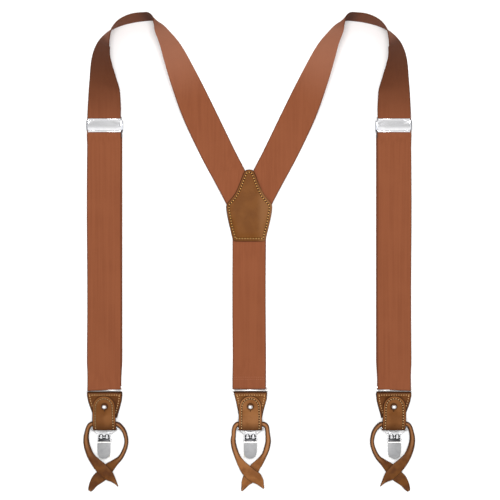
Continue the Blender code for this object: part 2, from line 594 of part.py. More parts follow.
def end_fittings(end, x, holder, mirror):
    """Everything below the elastic at one end."""
    ring_body = Body(f"body_ring_{end}", (x, END_Y + RING_PITCH, RING_Z), holder)
    tab_body = Body(f"body_tab_{end}", (x, END_Y - RING_PITCH, RING_Z), ring_body)
    flap_body = Body(f"body_flap_{end}", (x, END_Y + FOLD_Y, FLAP_HINGE_Z), tab_body)
    bail_body = Body(f"body_bail_{end}", (x, END_Y + BAIL_TOP[1], BAIL_TOP[2]), tab_body)
    clip_body = Body(f"body_clip_{end}", (x, END_Y + BAIL_FOOT[1], BAIL_FOOT[2]), bail_body)
    lever_body = Body(f"body_clip_lever_{end}", (x, END_Y + PIN_Y, PIN_Z), clip_body)
    ears_body = Body(f"body_ears_{end}", (x, END_Y + CORD_Y, CORD_Z), tab_body)
    ring(end, x, ring_body)
    tab(end, x, tab_body)
    hanger(end, x, tab_body)
    stud(end, x, tab_body)
    flap(end, x, flap_body)
    bail(end, x, bail_body)
    clip(end, x, clip_body, lever_body)
    button_ears(end, x, ears_body, mirror)


def front(side, sign, root):
    """One front strap from the patch to its fittings."""
    x = sign * FRONT_X
    shoulder_strap(side, sign, root)
    loop = Body(f"body_loop_{side}", (x, END_Y + RING_PITCH, RING_Z), root)
    adjusting_loop(side, x, loop)
    slider = Body(f"body_adjuster_{side}", (x, ADJUSTER_Y, PLATE_Z), loop)
    pivot = (x, ADJUSTER_Y + LEVER_PIVOT[0], LEVER_PIVOT[1])
    lever = Body(f"body_adjuster_lever_{side}", pivot, slider)
    adjuster(side, x, slider, lever)
    end_fittings(side, x, loop, -sign)


def main():
    root = Body("body_root", (0, 0, 0))
    back_patch(root)
    back_strap(root)
    front("left", -1, root)
    front("right", 1, root)
    end_fittings("back", 0, root, 1)


main()
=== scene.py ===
"""Y-back suspenders laid flat: ribbed elastic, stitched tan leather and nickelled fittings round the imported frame.

Lengths below are millimetres in the layout's own frame: +X across, +Y towards the shoulder turns, +Z up.
placed() turns them into metres in the frame's coordinates.
"""

import math

import bmesh
import bpy
from mathutils import Matrix, Vector


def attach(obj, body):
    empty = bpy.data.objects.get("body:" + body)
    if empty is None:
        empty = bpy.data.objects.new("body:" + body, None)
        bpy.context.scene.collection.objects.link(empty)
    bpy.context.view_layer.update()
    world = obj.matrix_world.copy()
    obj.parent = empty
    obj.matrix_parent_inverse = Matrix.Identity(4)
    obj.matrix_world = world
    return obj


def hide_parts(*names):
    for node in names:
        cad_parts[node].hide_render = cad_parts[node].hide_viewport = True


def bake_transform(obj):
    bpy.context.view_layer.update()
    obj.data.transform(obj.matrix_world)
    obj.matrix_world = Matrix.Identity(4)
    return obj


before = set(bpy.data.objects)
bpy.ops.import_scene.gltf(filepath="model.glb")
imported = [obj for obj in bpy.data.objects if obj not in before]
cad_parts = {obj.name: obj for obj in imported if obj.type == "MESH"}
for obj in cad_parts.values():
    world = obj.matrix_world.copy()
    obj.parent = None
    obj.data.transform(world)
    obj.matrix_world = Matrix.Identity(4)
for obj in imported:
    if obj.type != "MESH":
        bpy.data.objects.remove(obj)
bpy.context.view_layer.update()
SCENE = bpy.context.scene

MM = 0.001
LAYOUT_Y = 4.53
SIDES = {"left": -1, "right": 1}
FRONT_X = 151.7
ENDS = {"left": -FRONT_X, "right": FRONT_X, "back": 1.2}
HAND = {"left": 1, "right": -1, "back": 1}

# Elastic
STRAP_WIDTH = 35.0
STRAP_HALF = STRAP_WIDTH / 2
ELASTIC = 1.15
SINGLE_Z = 0.6
DOUBLE_Z = 2.1
SHOULDER_EDGE = (
    (169.2, 132.3, 0), (169.1, 140, 0), (168.9, 150, 2), (168.7, 159, 8), (168.4, 170, 15), (167.5, 182, 30),
    (166.7, 192.2, 40), (165.6, 201, 46), (163.7, 208.8, 50), (161.1, 215.4, 53), (157.8, 221, 57),
    (152.3, 226.9, 64), (144.5, 232.5, 75), (133.5, 237.2, 85), (120.2, 240.4, 90), (106.9, 242.1, 90),
    (102, 242.2, 89), (97.5, 241.2, 85), (92.5, 238.8, 77), (85.3, 232.5, 66.5), (70.5, 214.7, 51),
    (51.7, 180.5, 29.5), (33.8, 144.5, 8), (15.2, 106.0, 1), (9.8, 95.4, 0), (4.6, 85.0, 0),
    (-3.5, 68.8, 0), (-13, 49.6, 0),
)
THROUGH_Z = 4.9
LENGTHENING = 194.0     # how long a stretch of the front run would take up the change if it were let out; only an unused end point is worked from it
PATCH_RISE = (78.0, 110.0)
PATCH_NARROWING = 1.8
STRAP_LEVELS = {"right": 3.6, "left": 5.1}

# Back patch
PATCH_OUTLINE = (
    (0, 85.4), (3.2, 84.8), (5.0, 83.2), (6.2, 80.8), (7.4, 78.0), (10.2, 70.4), (14.2, 61.4), (18.5, 55.2),
    (22.6, 50.6), (23.9, 47.6), (24.0, 44.6), (23.1, 38.2), (20.8, 26.6), (17.8, 15.0), (16.8, 11.6), (15.0, 10.5),
    (8.0, 10.3), (0, 10.3),
)
PATCH_CENTRE = (0, 42)

# Ends, measured from the ring's middle bar
END_Y = -145.7
RING_Z = 2.3
RING_PITCH = 3.5
RING_HALF = 18.6
FOLD_RADIUS = 1.7
STUD_Y = -16.4
FLAP_HALF = 12.2
FLAP_TOP = -5.1
FLAP_Z = 5.9
FOLD_Y, FOLD_Z = -37.8, 4.4
STRIP_RADIUS = 3.2
HINGE_Z = FOLD_Z + STRIP_RADIUS
PIN_Y, PIN_Z = -51.3, 2.9
BAIL_RADIUS = 0.45
THREAD_RISE = 0.58
BEHIND_FLAP = (
    (16.8, -37.2, 3.9, 4.9, 4.6), (12.9, -34.8, 4.4, 5.0, 4.6), (6.0, -34.6, 4.4, 5.0, 4.6),
    (-6.0, -34.6, 4.4, 5.0, 4.6), (-12.9, -34.8, 4.4, 5.0, 4.6), (-16.0, -37.6, 3.9, 4.9, 4.6),
)
FRONT_EARS = (
    (-15.6, -105.6, 1.1, 3.4, 1.8), (-14.0, -102.6, 1.1, 6.4, 1.9), (-11.3, -97.8, 1.1, 9.0, 1.9),
    (-7.8, -93.6, 1.1, 11.6, 1.9), (-3.0, -89.6, 1.1, 12.6, 1.9), (1.4, -85.2, 1.1, 12.4, 1.9),
    (5.4, -80.8, 1.1, 10.6, 1.9), (10.8, -76.0, 1.3, 7.4, 2.2), (16.8, -70.4, 1.7, 5.2, 3.0),
    (21.3, -61.8, 2.1, 4.6, 3.8), (23.1, -53.0, 2.4, 4.3, 4.4), (21.0, -43.4, 2.8, 4.6, 4.6),
    *BEHIND_FLAP,
    (-18.0, -43.0, 2.8, 5.0, 4.4), (-19.1, -50.5, 2.3, 5.9, 4.0), (-18.0, -59.0, 2.1, 6.8, 3.4),
    (-14.2, -68.6, 2.4, 7.8, 2.6), (-8.6, -75.6, 3.2, 10.2, 1.9), (-4.0, -80.2, 3.6, 11.8, 1.9),
    (1.4, -85.6, 3.6, 11.6, 1.9), (5.6, -89.8, 3.6, 10.4, 1.9), (9.0, -93.4, 2.9, 6.4, 1.9),
    (12.0, -97.4, 2.0, 2.8, 1.7), (14.1, -100.8, 1.3, 1.0, 1.5),
)
BACK_EARS = (
    (-9.0, -105.8, 1.1, 1.4, 1.7), (-7.2, -101.9, 1.1, 5.1, 1.9), (-4.7, -96.6, 1.1, 9.6, 1.9),
    (-2.1, -93.0, 1.1, 12.6, 1.9), (1.2, -88.6, 1.1, 12.8, 1.9), (4.5, -81.8, 1.1, 10.8, 1.9),
    (9.4, -75.8, 1.3, 8.4, 2.2), (14.2, -68.6, 1.7, 6.0, 3.0), (17.2, -61.0, 2.1, 6.0, 3.8),
    (18.7, -53.0, 2.4, 5.8, 4.4), (18.2, -46.0, 2.8, 5.0, 4.6), (18.0, -43.4, 2.8, 4.7, 4.6),
    *BEHIND_FLAP,
    (-17.3, -42.6, 2.8, 4.7, 4.4), (-17.4, -46.5, 2.8, 4.6, 4.2), (-18.0, -53.0, 2.4, 5.4, 3.8),
    (-16.4, -61.5, 2.1, 5.9, 3.4), (-13.2, -70.0, 2.4, 6.2, 2.6), (-9.2, -76.8, 3.2, 8.6, 1.9),
    (-4.8, -82.4, 3.6, 11.4, 1.9), (1.0, -88.0, 3.6, 12.6, 1.9), (6.0, -91.4, 3.6, 12.4, 1.9),
    (9.4, -95.0, 2.9, 9.4, 1.9), (12.0, -99.4, 2.0, 5.0, 1.8), (14.0, -103.0, 1.3, 1.6, 1.6),
)

# Studio, in metres: how bright it is from the horizon, 0, to straight above, 1, and its one softbox
SKY = ((0.0, 0.30), (0.45, 0.45), (0.70, 1.25), (0.92, 1.15), (0.98, 0.58))
KEY_SPOT, KEY_SIZE, KEY_ENERGY = (0, 0.12, 0.85), 0.3, 5.5
CAMERA_SPOT = (0.00084, 0.00126 + LAYOUT_Y * MM, 1.0)

# Tab's half widths at each distance below the bar, on its narrower side and its wider side
TAB_WIDTHS = {
    "front": (((-30, 11.0), (-28.6, 11.6), (-23, 12.9), (-17, 15.2), (-11, 17.2), (-5.6, 18.0), (-2.8, 18.0),
               (0, 17.9)),
              ((-30, 12.4), (-28.6, 13.4), (-23, 14.9), (-17, 16.6), (-11, 18.1), (-5.6, 18.7), (-2.8, 18.7),
               (0, 18.4))),
    "back": (((-30, 11.2), (-28.6, 11.9), (-21, 13.2), (-15, 14.4), (-8.8, 15.8), (-2.4, 17.3), (0, 17.4)),
             ((-30, 11.8), (-28.6, 12.4), (-21, 13.9), (-15, 15.6), (-8.8, 17.3), (-2.4, 17.6), (0, 17.6))),
}

# Adjuster
ADJUSTER_Y = 132.0
HEM_Y, HEM_Z = 127.5, 2.0
HEM_RADIUS = 1.4


# Millimetres that one unit of a strip's own map stands for
STRIP_SPAN = 1000.0


# ---------------------------------------------------------------- materials

class Value:
    """A socket that adds Math nodes to its tree when it is used in a sum."""

    def __init__(self, look, socket):
        self.look = look
        self.socket = socket

    def maths(self, operation, *others):
        made = self.look.node("ShaderNodeMath", {"operation": operation}, {
            i: v for i, v in enumerate((self, *others))
        })
        return Value(self.look, made.outputs[0])

    def __add__(self, other):
        return self.maths("ADD", other)

    def __mul__(self, other):
        return self.maths("MULTIPLY", other)

    def __sub__(self, other):
        return self.maths("SUBTRACT", other)

    def __rsub__(self, other):
        return (self * -1) + other

    __radd__ = __add__
    __rmul__ = __mul__

    def smooth(self, low, high):
        """0 below low, 1 above high and an S curve between them."""
        made = self.look.node("ShaderNodeMapRange", {"interpolation_type": "SMOOTHSTEP"}, {
            "Value": self, "From Min": low, "From Max": high,
        })
        return Value(self.look, made.outputs["Result"])

    def wave(self, pitch):
        """Swings between 0 and 1 once in each pitch."""
        return (self * (2 * math.pi / pitch)).maths("SINE") * 0.5 + 0.5


class Graph:
    """A node tree whose nodes are added one call at a time."""

    def __init__(self, tree):
        self.tree = tree

    def node(self, kind, settings=None, values=None):
        made = self.tree.nodes.new(kind)
        for key, value in (settings or {}).items():
            setattr(made, key, value)
        for key, value in (values or {}).items():
            self.put(made.inputs[key], value)
        return made

    def put(self, socket, value):
        if isinstance(value, Value):
            value = value.socket
        if isinstance(value, bpy.types.NodeSocket):
            self.tree.links.new(value, socket)
        else:
            socket.default_value = value


class Look(Graph):
    """A procedural material."""

    def __init__(self, name, **fixed):
        self.material = bpy.data.materials.new(name)
        self.material.use_nodes = True
        super().__init__(self.material.node_tree)
        self.shader = self.tree.nodes["Principled BSDF"]
        for socket, value in fixed.items():
            self.shader.inputs[socket.replace("_", " ")].default_value = value

    def place(self):
        return self.node("ShaderNodeTexCoord").outputs["Object"]

    def axis(self, letter):
        """One coordinate of the place, in metres."""
        return Value(self, self.node("ShaderNodeSeparateXYZ", values={0: self.place()}).outputs[letter])

    def noise(self, size, detail=3.0, stretch=(1, 1, 1)):
        """Cloudy 0 to 1 pattern whose patches are about size millimetres."""
        moved = self.node("ShaderNodeMapping", values={"Vector": self.place(), "Scale": stretch})
        made = self.node("ShaderNodeTexNoise", values={
            "Vector": moved.outputs[0], "Scale": 1 / (size * MM), "Detail": detail,
        })
        return Value(self, made.outputs["Fac"])

    def cells(self, size):
        """Distance to the nearest cell wall in a field of cells about size millimetres across."""
        made = self.node("ShaderNodeTexVoronoi", {"feature": "DISTANCE_TO_EDGE"}, {
            "Vector": self.place(), "Scale": 1 / (size * MM),
        })
        return Value(self, made.outputs["Distance"])

    def attribute(self, name):
        return Value(self, self.node("ShaderNodeAttribute", {"attribute_name": name}).outputs["Fac"])

    def strip(self):
        """Millimetres across and along a strip, from its own map."""
        found = self.node("ShaderNodeUVMap", {"uv_map": "strip"})
        split = self.node("ShaderNodeSeparateXYZ", values={0: found.outputs[0]})
        return Value(self, split.outputs[0]) * STRIP_SPAN, Value(self, split.outputs[1]) * STRIP_SPAN

    def mix(self, share, first, second):
        """From the first colour to the second as share goes from 0 to 1."""
        made = self.node("ShaderNodeMix", {"data_type": "RGBA"}, {0: share})
        for index, colour in ((6, first), (7, second)):
            if isinstance(colour, bpy.types.NodeSocket):
                self.put(made.inputs[index], colour)
            else:
                made.inputs[index].default_value = (*colour, 1)
        return made.outputs[2]

    def bump(self, height, depth, strength=1.0):
        """Raises the surface by height, 0 to 1, times depth millimetres."""
        made = self.node("ShaderNodeBump", values={
            "Height": height, "Distance": depth * MM, "Strength": strength,
        })
        self.put(self.shader.inputs["Normal"], made.outputs[0])

    def feed(self, **sockets):
        for socket, value in sockets.items():
            self.put(self.shader.inputs[socket.replace("_", " ")], value)
        return self.material


def tint(colour, share):
    return tuple(min(1, c * share) for c in colour)


def ribbed_elastic():
    """Rust-brown elastic: fine cross ribs over lengthwise warp lines, darkened along both edges by painted shade
    where they round over.
    """
    look = Look("ribbed_elastic", Specular_IOR_Level=0.12)
    across, along = look.strip()
    rib = along.wave(0.75)
    warp = across.wave(0.95)
    weave = rib * 0.6 + (rib * warp) * 0.25 + warp * 0.15
    edge = across.maths("MINIMUM", (across * -1) + STRAP_WIDTH)
    edge_shade = 1 - edge.smooth(0.4, 1.3)
    stripes = look.noise(2.2, 2.0, (1, 0.02, 1))
    clouds = look.noise(30, 2.0)
    body = look.mix(stripes.smooth(0.3, 0.7), (0.198, 0.059, 0.0235), (0.224, 0.069, 0.028))
    body = look.mix(clouds.smooth(0.35, 0.7) * 0.5, body, (0.232, 0.073, 0.030))
    body = look.mix((1 - weave) * 0.30, body, (0.100, 0.026, 0.009))
    # Painted shade along both rounded edges of the strap.
    body = look.mix(edge_shade * 0.72, body, (0.085, 0.026, 0.012))
    # Painted shade where the strap tilts away round the shoulder, and painted light on the diagonal past the turn.
    body = look.mix(look.attribute("shaded") * 0.72, body, (0.045, 0.013, 0.005))
    body = look.mix(look.attribute("painted_light") * 0.6, body, (0.330, 0.135, 0.080))
    look.bump(weave, 0.10, 0.55)
    return look.feed(Base_Color=body, Roughness=0.86 - weave * 0.1)


def tan_leather(name, base, light, dark, rim=1.0, groove=None, shades=(), glow=None):
    """Tanned leather with a fine pebble grain, cloudy tone, burnished edge and a pressed stitch line.

    rim is how pale the edge is rubbed, groove how far in the stitch line lies, shades the stretches of
    the end painted darker with shade, as (start, finish, depth), and glow the colour of the painted light on the
    right-hand side."""
    look = Look(name, Specular_IOR_Level=0.08)
    grain = look.cells(0.75)
    pores = look.noise(0.35, 2.0)
    clouds = look.noise(11, 4.0)
    crease = grain.smooth(0.0, 0.14)
    colour = look.mix(clouds.smooth(0.33, 0.68), base, light)
    colour = look.mix((1 - crease) * 0.22, colour, dark)
    edge = look.attribute("edge")
    worn = edge.smooth(0.7, 1.2) * (1 - edge.smooth(1.3, 2.0))
    colour = look.mix(worn * 0.42 * rim, colour, tint(light, 1.5))
    # Darker at the very edge: edge paint, with painted shade where the edge rounds over.
    colour = look.mix((1 - edge.smooth(0.3, 1.3)) * 0.9, colour, tint(dark, 0.4))
    # Painted shade in the dimple round the stud.
    colour = look.mix(look.attribute("stud_shade") * 0.9, colour, tint(dark, 0.3))
    for start, end, depth in shades:
        along = look.axis("Y").smooth((END_Y + LAYOUT_Y + start) * MM, (END_Y + LAYOUT_Y + end) * MM)
        colour = look.mix(along * depth, colour, tint(dark, 0.5))
    # Painted light on the right-hand side of the piece.
    if glow:
        colour = look.mix(look.axis("X").smooth(7 * MM, 15 * MM) * 0.6, colour, glow)
    height = crease * 0.5 + pores * 0.3
    if groove:
        line = edge.smooth(groove - 0.95, groove - 0.6) * (1 - edge.smooth(groove + 0.6, groove + 0.95))
        colour = look.mix(line * 0.9, colour, tint(dark, 0.45))
        height = height - line * 1.2
    look.bump(height, 0.12, 0.5)
    rough = 0.5 + clouds * 0.12 - crease * 0.08
    return look.feed(Base_Color=colour, Roughness=rough)


def cord_leather(name, base, light, crown_highlight):
    """Rolled leather: a painted highlight along its polished crown, painted shade down its flanks and underneath,
    with lengthwise pull marks.
    """
    look = Look(name, Specular_IOR_Level=0.16)
    clouds = look.noise(9, 3.0)
    pull = look.noise(1.2, 3.0, (1, 0.25, 1))
    grain = look.cells(0.7).smooth(0.0, 0.14)
    flank = look.attribute("edge")
    rolled = look.attribute("rolled")
    colour = look.mix(clouds.smooth(0.35, 0.65), base, light)
    # Painted highlight along the crown.
    crown = (1 - flank.smooth(0.10, 0.50)) * rolled
    colour = look.mix(crown * 0.9, colour, crown_highlight)
    # Painted shade down the flanks, at the sides and along the underside of the cord.
    side = flank.smooth(0.45, 0.75) * rolled * 0.9
    rim = flank.smooth(0.88, 0.99)
    colour = look.mix(side.maths("MAXIMUM", rim * 0.85), colour, (0.030, 0.010, 0.003))
    colour = look.mix((1 - grain) * 0.2, colour, (0.07, 0.026, 0.009))
    colour = look.mix(pull.smooth(0.55, 0.8) * 0.3, colour, (0.12, 0.045, 0.014))
    look.bump(grain * 0.5 + pull * 0.5, 0.12, 0.45)
    return look.feed(Base_Color=colour, Roughness=0.5 - crown * 0.1 + clouds * 0.1)


def waxed_thread(name, pale, deep):
    look = Look(name, Sheen_Weight=0.1)
    twist = look.noise(0.5, 2.0)
    colour = look.mix(twist.smooth(0.3, 0.7), deep, pale)
    look.bump(twist, 0.05, 0.5)
    return look.feed(Base_Color=colour, Roughness=0.55 + twist * 0.15)


def nickel(name, base, worn, low, high, brushed=False):
    """Nickel plate: cloudy polish, hairline scratches and, where brushed, lines across the piece."""
    look = Look(name, Metallic=1.0)
    clouds = look.noise(6, 3.0)
    lines = look.noise(0.25, 3.0, (0.06, 1, 1) if brushed else (1, 0.2, 1))
    colour = look.mix(clouds.smooth(0.35, 0.7), base, worn)
    if brushed:
        colour = look.mix(lines.smooth(0.4, 0.75) * 0.35, colour, tint(base, 0.72))
    rough = clouds * (high - low) + low + lines * (0.12 if brushed else 0.03)
    look.bump(lines, 0.03 if brushed else 0.008, 0.4)
    return look.feed(Base_Color=colour, Roughness=rough)


def moulded_plastic():
    look = Look("moulded_plastic", Specular_IOR_Level=0.4)
    speckle = look.noise(0.5, 3.0)
    clouds = look.noise(4, 2.0)
    colour = look.mix(clouds, (0.58, 0.55, 0.48), (0.66, 0.63, 0.56))
    look.bump(speckle, 0.03, 0.4)
    return look.feed(Base_Color=colour, Roughness=0.48 + speckle * 0.15)


ELASTIC_LOOK = ribbed_elastic()
PATCH_LOOK = tan_leather("patch_leather", (0.128, 0.043, 0.007), (0.154, 0.055, 0.011), (0.060, 0.018, 0.003),
                         0.2, 3.1, glow=(0.215, 0.095, 0.034))
FLAP_SHADES = ((-31, -40, 0.62),)
TAB_SHADES = ((-3.1, -2.4, 0.8), (-14, -31, 0.75))
FRONT_LEATHER = {
    "flap": tan_leather("front_flap_leather", (0.135, 0.046, 0.009), (0.184, 0.069, 0.018), (0.070, 0.021, 0.004),
                        1.0, 3.1, FLAP_SHADES),
    "tab": tan_leather("front_tab_leather", (0.084, 0.026, 0.005), (0.130, 0.045, 0.011), (0.040, 0.012, 0.003),
                       0.3, None, TAB_SHADES),
    "cord": cord_leather("front_cord_leather", (0.078, 0.021, 0.001), (0.130, 0.043, 0.005),
                         (0.285, 0.125, 0.048)),
}
BACK_LEATHER = {
    "flap": tan_leather("back_flap_leather", (0.180, 0.066, 0.016), (0.245, 0.100, 0.032), (0.085, 0.026, 0.005),
                        1.0, 3.1, FLAP_SHADES),
    "tab": tan_leather("back_tab_leather", (0.130, 0.045, 0.010), (0.200, 0.078, 0.022), (0.055, 0.017, 0.004),
                       0.3, None, TAB_SHADES),
    "cord": cord_leather("back_cord_leather", (0.175, 0.060, 0.012), (0.260, 0.100, 0.026),
                         (0.350, 0.155, 0.062)),
}
LEATHERS = {"left": FRONT_LEATHER, "right": FRONT_LEATHER, "back": BACK_LEATHER}
PATCH_THREAD = waxed_thread("gold_thread", (0.90, 0.50, 0.13), (0.70, 0.34, 0.08))
END_THREAD = waxed_thread("tan_thread", (0.86, 0.54, 0.24), (0.66, 0.38, 0.14))
SEAM_THREAD = waxed_thread("rust_thread", (0.36, 0.125, 0.06), (0.25, 0.08, 0.04))
POLISHED = nickel("polished_nickel", (0.86, 0.86, 0.87), (0.82, 0.82, 0.84), 0.15, 0.24)
PLATE = nickel("plate_nickel", (0.84, 0.84, 0.85), (0.78, 0.78, 0.80), 0.07, 0.16)
# Darkened copy of the nickel: painted shade on the adjuster's ears, shoulders, rivets and dimples.
SHADED_NICKEL = nickel("shaded_nickel", (0.20, 0.205, 0.22), (0.16, 0.165, 0.18), 0.32, 0.42)
# Brighter, warmer copy of the nickel: painted highlight and a painted warm reflection of the leather, on the rings
# and the lever's roll.
HIGHLIGHT_NICKEL = nickel("highlight_nickel", (0.95, 0.94, 0.92), (0.90, 0.89, 0.87), 0.26, 0.34)
# Near-black steel, painted shade: the clip's window backing and pin web, the adjuster's teeth and its lever under
# the plate.
SHADE_STEEL = nickel("shade_steel", (0.030, 0.030, 0.032), (0.055, 0.055, 0.058), 0.30, 0.45)
SATIN = nickel("satin_nickel", (0.36, 0.36, 0.365), (0.30, 0.30, 0.308), 0.34, 0.46, True)
PLASTIC = moulded_plastic()


# ---------------------------------------------------------------- shapes

def placed(x, y, z):
    return Vector((x, y + LAYOUT_Y, z)) * MM


def ease(value, start, end):
    share = min(1, max(0, (value - start) / (end - start)))
    return share * share * (3 - 2 * share)


def smooth_path(points, steps, closed=False):
    """Catmull-Rom points through rows of numbers."""
    ring = [points[-1], *points, points[0], points[1]] if closed else [points[0], *points, points[-1]]
    made = []
    for a, b, c, d in zip(ring, ring[1:], ring[2:], ring[3:]):
        for i in range(steps):
            t = i / steps
            made.append(tuple(
                q + 0.5 * t * (r - p + t * (2 * p - 5 * q + 4 * r - s + t * (3 * (q - r) + s - p)))
                for p, q, r, s in zip(a, b, c, d)
            ))
    return made if closed else [*made, tuple(points[-1])]


def even_points(points, spacing):
    """The same closed outline with its points evenly spaced."""
    ring = [Vector(p) for p in points]
    ring.append(ring[0].copy())
    lengths = [0.0]
    for a, b in zip(ring, ring[1:]):
        lengths.append(lengths[-1] + (b - a).length)
    count = max(8, round(lengths[-1] / spacing))
    made, j = [], 0
    for i in range(count):
        target = lengths[-1] * i / count
        while lengths[j + 1] < target:
            j += 1
        share = (target - lengths[j]) / max(1e-9, lengths[j + 1] - lengths[j])
        made.append(ring[j].lerp(ring[j + 1], share))
    return made


def arc(a, b, radius, start, end, step=15, rise=None):
    """Points round (a, b), angles in degrees from the first axis to the second; rise is the second radius."""
    count = max(2, round(abs(end - start) / step))
    angles = [math.radians(start + (end - start) * i / count) for i in range(count + 1)]
    return [(a + radius * math.cos(t), b + (rise or radius) * math.sin(t)) for t in angles]


def linked(name, data):
    made = bpy.data.objects.new(name, data)
    SCENE.collection.objects.link(made)
    return made


def from_bmesh(name, bm):
    bmesh.ops.recalc_face_normals(bm, faces=bm.faces)
    mesh = bpy.data.meshes.new(name)
    bm.to_mesh(mesh)
    bm.free()
    return linked(name, mesh)


def baked(made):
    """The object with its modifiers, or its curve, turned into a plain mesh of the same name."""
    bpy.context.view_layer.update()
    name = made.name
    evaluated = made.evaluated_get(bpy.context.evaluated_depsgraph_get())
    mesh = bpy.data.meshes.new_from_object(evaluated)
    bpy.data.objects.remove(made)
    mesh.name = name
    return linked(name, mesh)


def loft(name, rings, around, along, edges=None):
    """Rings of points joined into one closed skin, with its strip map and its edge distances."""
    bm = bmesh.new()
    strip = bm.loops.layers.uv.new("strip")
    edge = bm.verts.layers.float.new("edge")
    rows = []
    for i, ring in enumerate(rings):
        row = [bm.verts.new(placed(*p)) for p in ring]
        for k, vertex in enumerate(row):
            vertex[edge] = edges[i][k] if edges else 0.0
        rows.append(row)
    count = len(rows[0])
    for i, (one, two) in enumerate(zip(rows, rows[1:])):
        for k in range(count):
            n = (k + 1) % count
            face = bm.faces.new((one[k], one[n], two[n], two[k]))
            spots = ((k, i), (k + 1, i), (k + 1, i + 1), (k, i + 1))
            for corner, (a, b) in zip(face.loops, spots):
                corner[strip].uv = (around[a] / STRIP_SPAN, along[b] / STRIP_SPAN)
    bm.faces.new(rows[0])
    bm.faces.new(rows[-1])
    return from_bmesh(name, bm)


def band(name, rows, thickness, columns):
    """A strap or leather strip through rows of (one edge, other edge), with rounded edges.

    columns are (share of the width, share of the thickness) from one edge to the other."""
    middles = [(Vector(a) + Vector(b)) / 2 for a, b in rows]
    along = [0.0]
    for one, two in zip(middles, middles[1:]):
        along.append(along[-1] + (two - one).length)
    inner = range(1, len(columns) - 1)
    order = [(j, 1) for j in range(len(columns))] + [(j, -1) for j in reversed(inner)]
    rings, edges = [], []
    for i, (a, b) in enumerate(rows):
        a, b = Vector(a), Vector(b)
        way = middles[min(i + 1, len(rows) - 1)] - middles[max(i - 1, 0)]
        up = (b - a).cross(way).normalized() * thickness / 2
        ring, marks = [], []
        for j, hand in order:
            share, depth = columns[j]
            ring.append(a.lerp(b, share) + up * depth * hand)
            marks.append(min(share, 1 - share) * (b - a).length)
        rings.append(ring)
        edges.append(marks)
    width = (Vector(rows[0][1]) - Vector(rows[0][0])).length
    around = [columns[j][0] * width for j, _ in order] + [0.0]
    return loft(name, rings, around, along, edges)


WEBBING = ((0, 0), (0.008, 0.6), (0.022, 0.95), (0.05, 1), (0.12, 0.96), (0.3, 1), (0.5, 1.0),
           (0.7, 1), (0.88, 0.96), (0.95, 1), (0.978, 0.95), (0.992, 0.6), (1, 0))
LEATHER_EDGE = ((0, 0), (0.006, 0.6), (0.016, 0.9), (0.035, 1), (0.06, 1), (0.1, 1), (0.2, 1), (0.35, 1), (0.5, 1),
                (0.65, 1), (0.8, 1), (0.9, 1), (0.94, 1), (0.965, 1), (0.984, 0.9), (0.994, 0.6), (1, 0))


# How far in from a sheet's outline each ring lies, and its share of the thickness
SHEET_EDGE = ((0, 0), (0.12, 0.55), (0.35, 0.9), (0.8, 1), (1.5, 1), (2.2, 1), (2.7, 1), (3.1, 1), (3.5, 1),
              (4.2, 1))
WELL_IN = 5.0


def inset_line(outline, inset, centre):
    """The outline moved inwards, as evenly spaced points in its own plane."""
    outline = even_points(outline, 1.1)
    moved = []
    for i, point in enumerate(outline):
        way = (outline[(i + 2) % len(outline)] - outline[i - 2]).normalized()
        inward = Vector((-way.y, way.x))
        if inward.dot(Vector(centre) - point) < 0:
            inward = -inward
        moved.append(point + inward * inset)
    return moved


def sheet(name, outline, centre, surface, thickness, groove=None, rounds=14):
    """A piece cut to an outline and shaped by surface(u, v), which gives a point and the way it faces.

    Rings follow the outline inwards, so the edge is round and the stitch line can be pressed in."""
    middle = Vector(centre)
    rings = [(inset, depth, inset_line(outline, inset, centre)) for inset, depth in SHEET_EDGE]
    last = rings[-1][2]
    count = len(last)
    for i in range(1, rounds):
        share = 1 - i / rounds
        rings.append((WELL_IN, 1, [middle + (p - middle) * share for p in last]))
    bm = bmesh.new()
    strip = bm.loops.layers.uv.new("strip")
    edge = bm.verts.layers.float.new("edge")

    def vertex(spot, depth, inset, hand):
        point, facing = surface(*spot)
        sunk = 0.0
        if groove and hand > 0:
            sunk = 0.28 * math.exp(-((inset - groove) / 0.55) ** 2)
        made = bm.verts.new(placed(*(Vector(point) + Vector(facing) * (hand * depth * thickness / 2 - sunk))))
        made[edge] = inset
        return made

    rim = [vertex(spot, 0, 0, 0) for spot in rings[0][2]]
    for hand in (1, -1):
        before = rim
        for inset, depth, spots in rings[1:]:
            row = [vertex(spot, depth, inset, hand) for spot in spots]
            for k in range(count):
                n = (k + 1) % count
                bm.faces.new((before[k], before[n], row[n], row[k]))
            before = row
        tip = vertex(middle, 1, WELL_IN, hand)
        for k in range(count):
            bm.faces.new((before[k], before[(k + 1) % count], tip))
    for face in bm.faces:
        for corner in face.loops:
            corner[strip].uv = (corner.vert.co.x, corner.vert.co.y)
    return from_bmesh(name, bm)


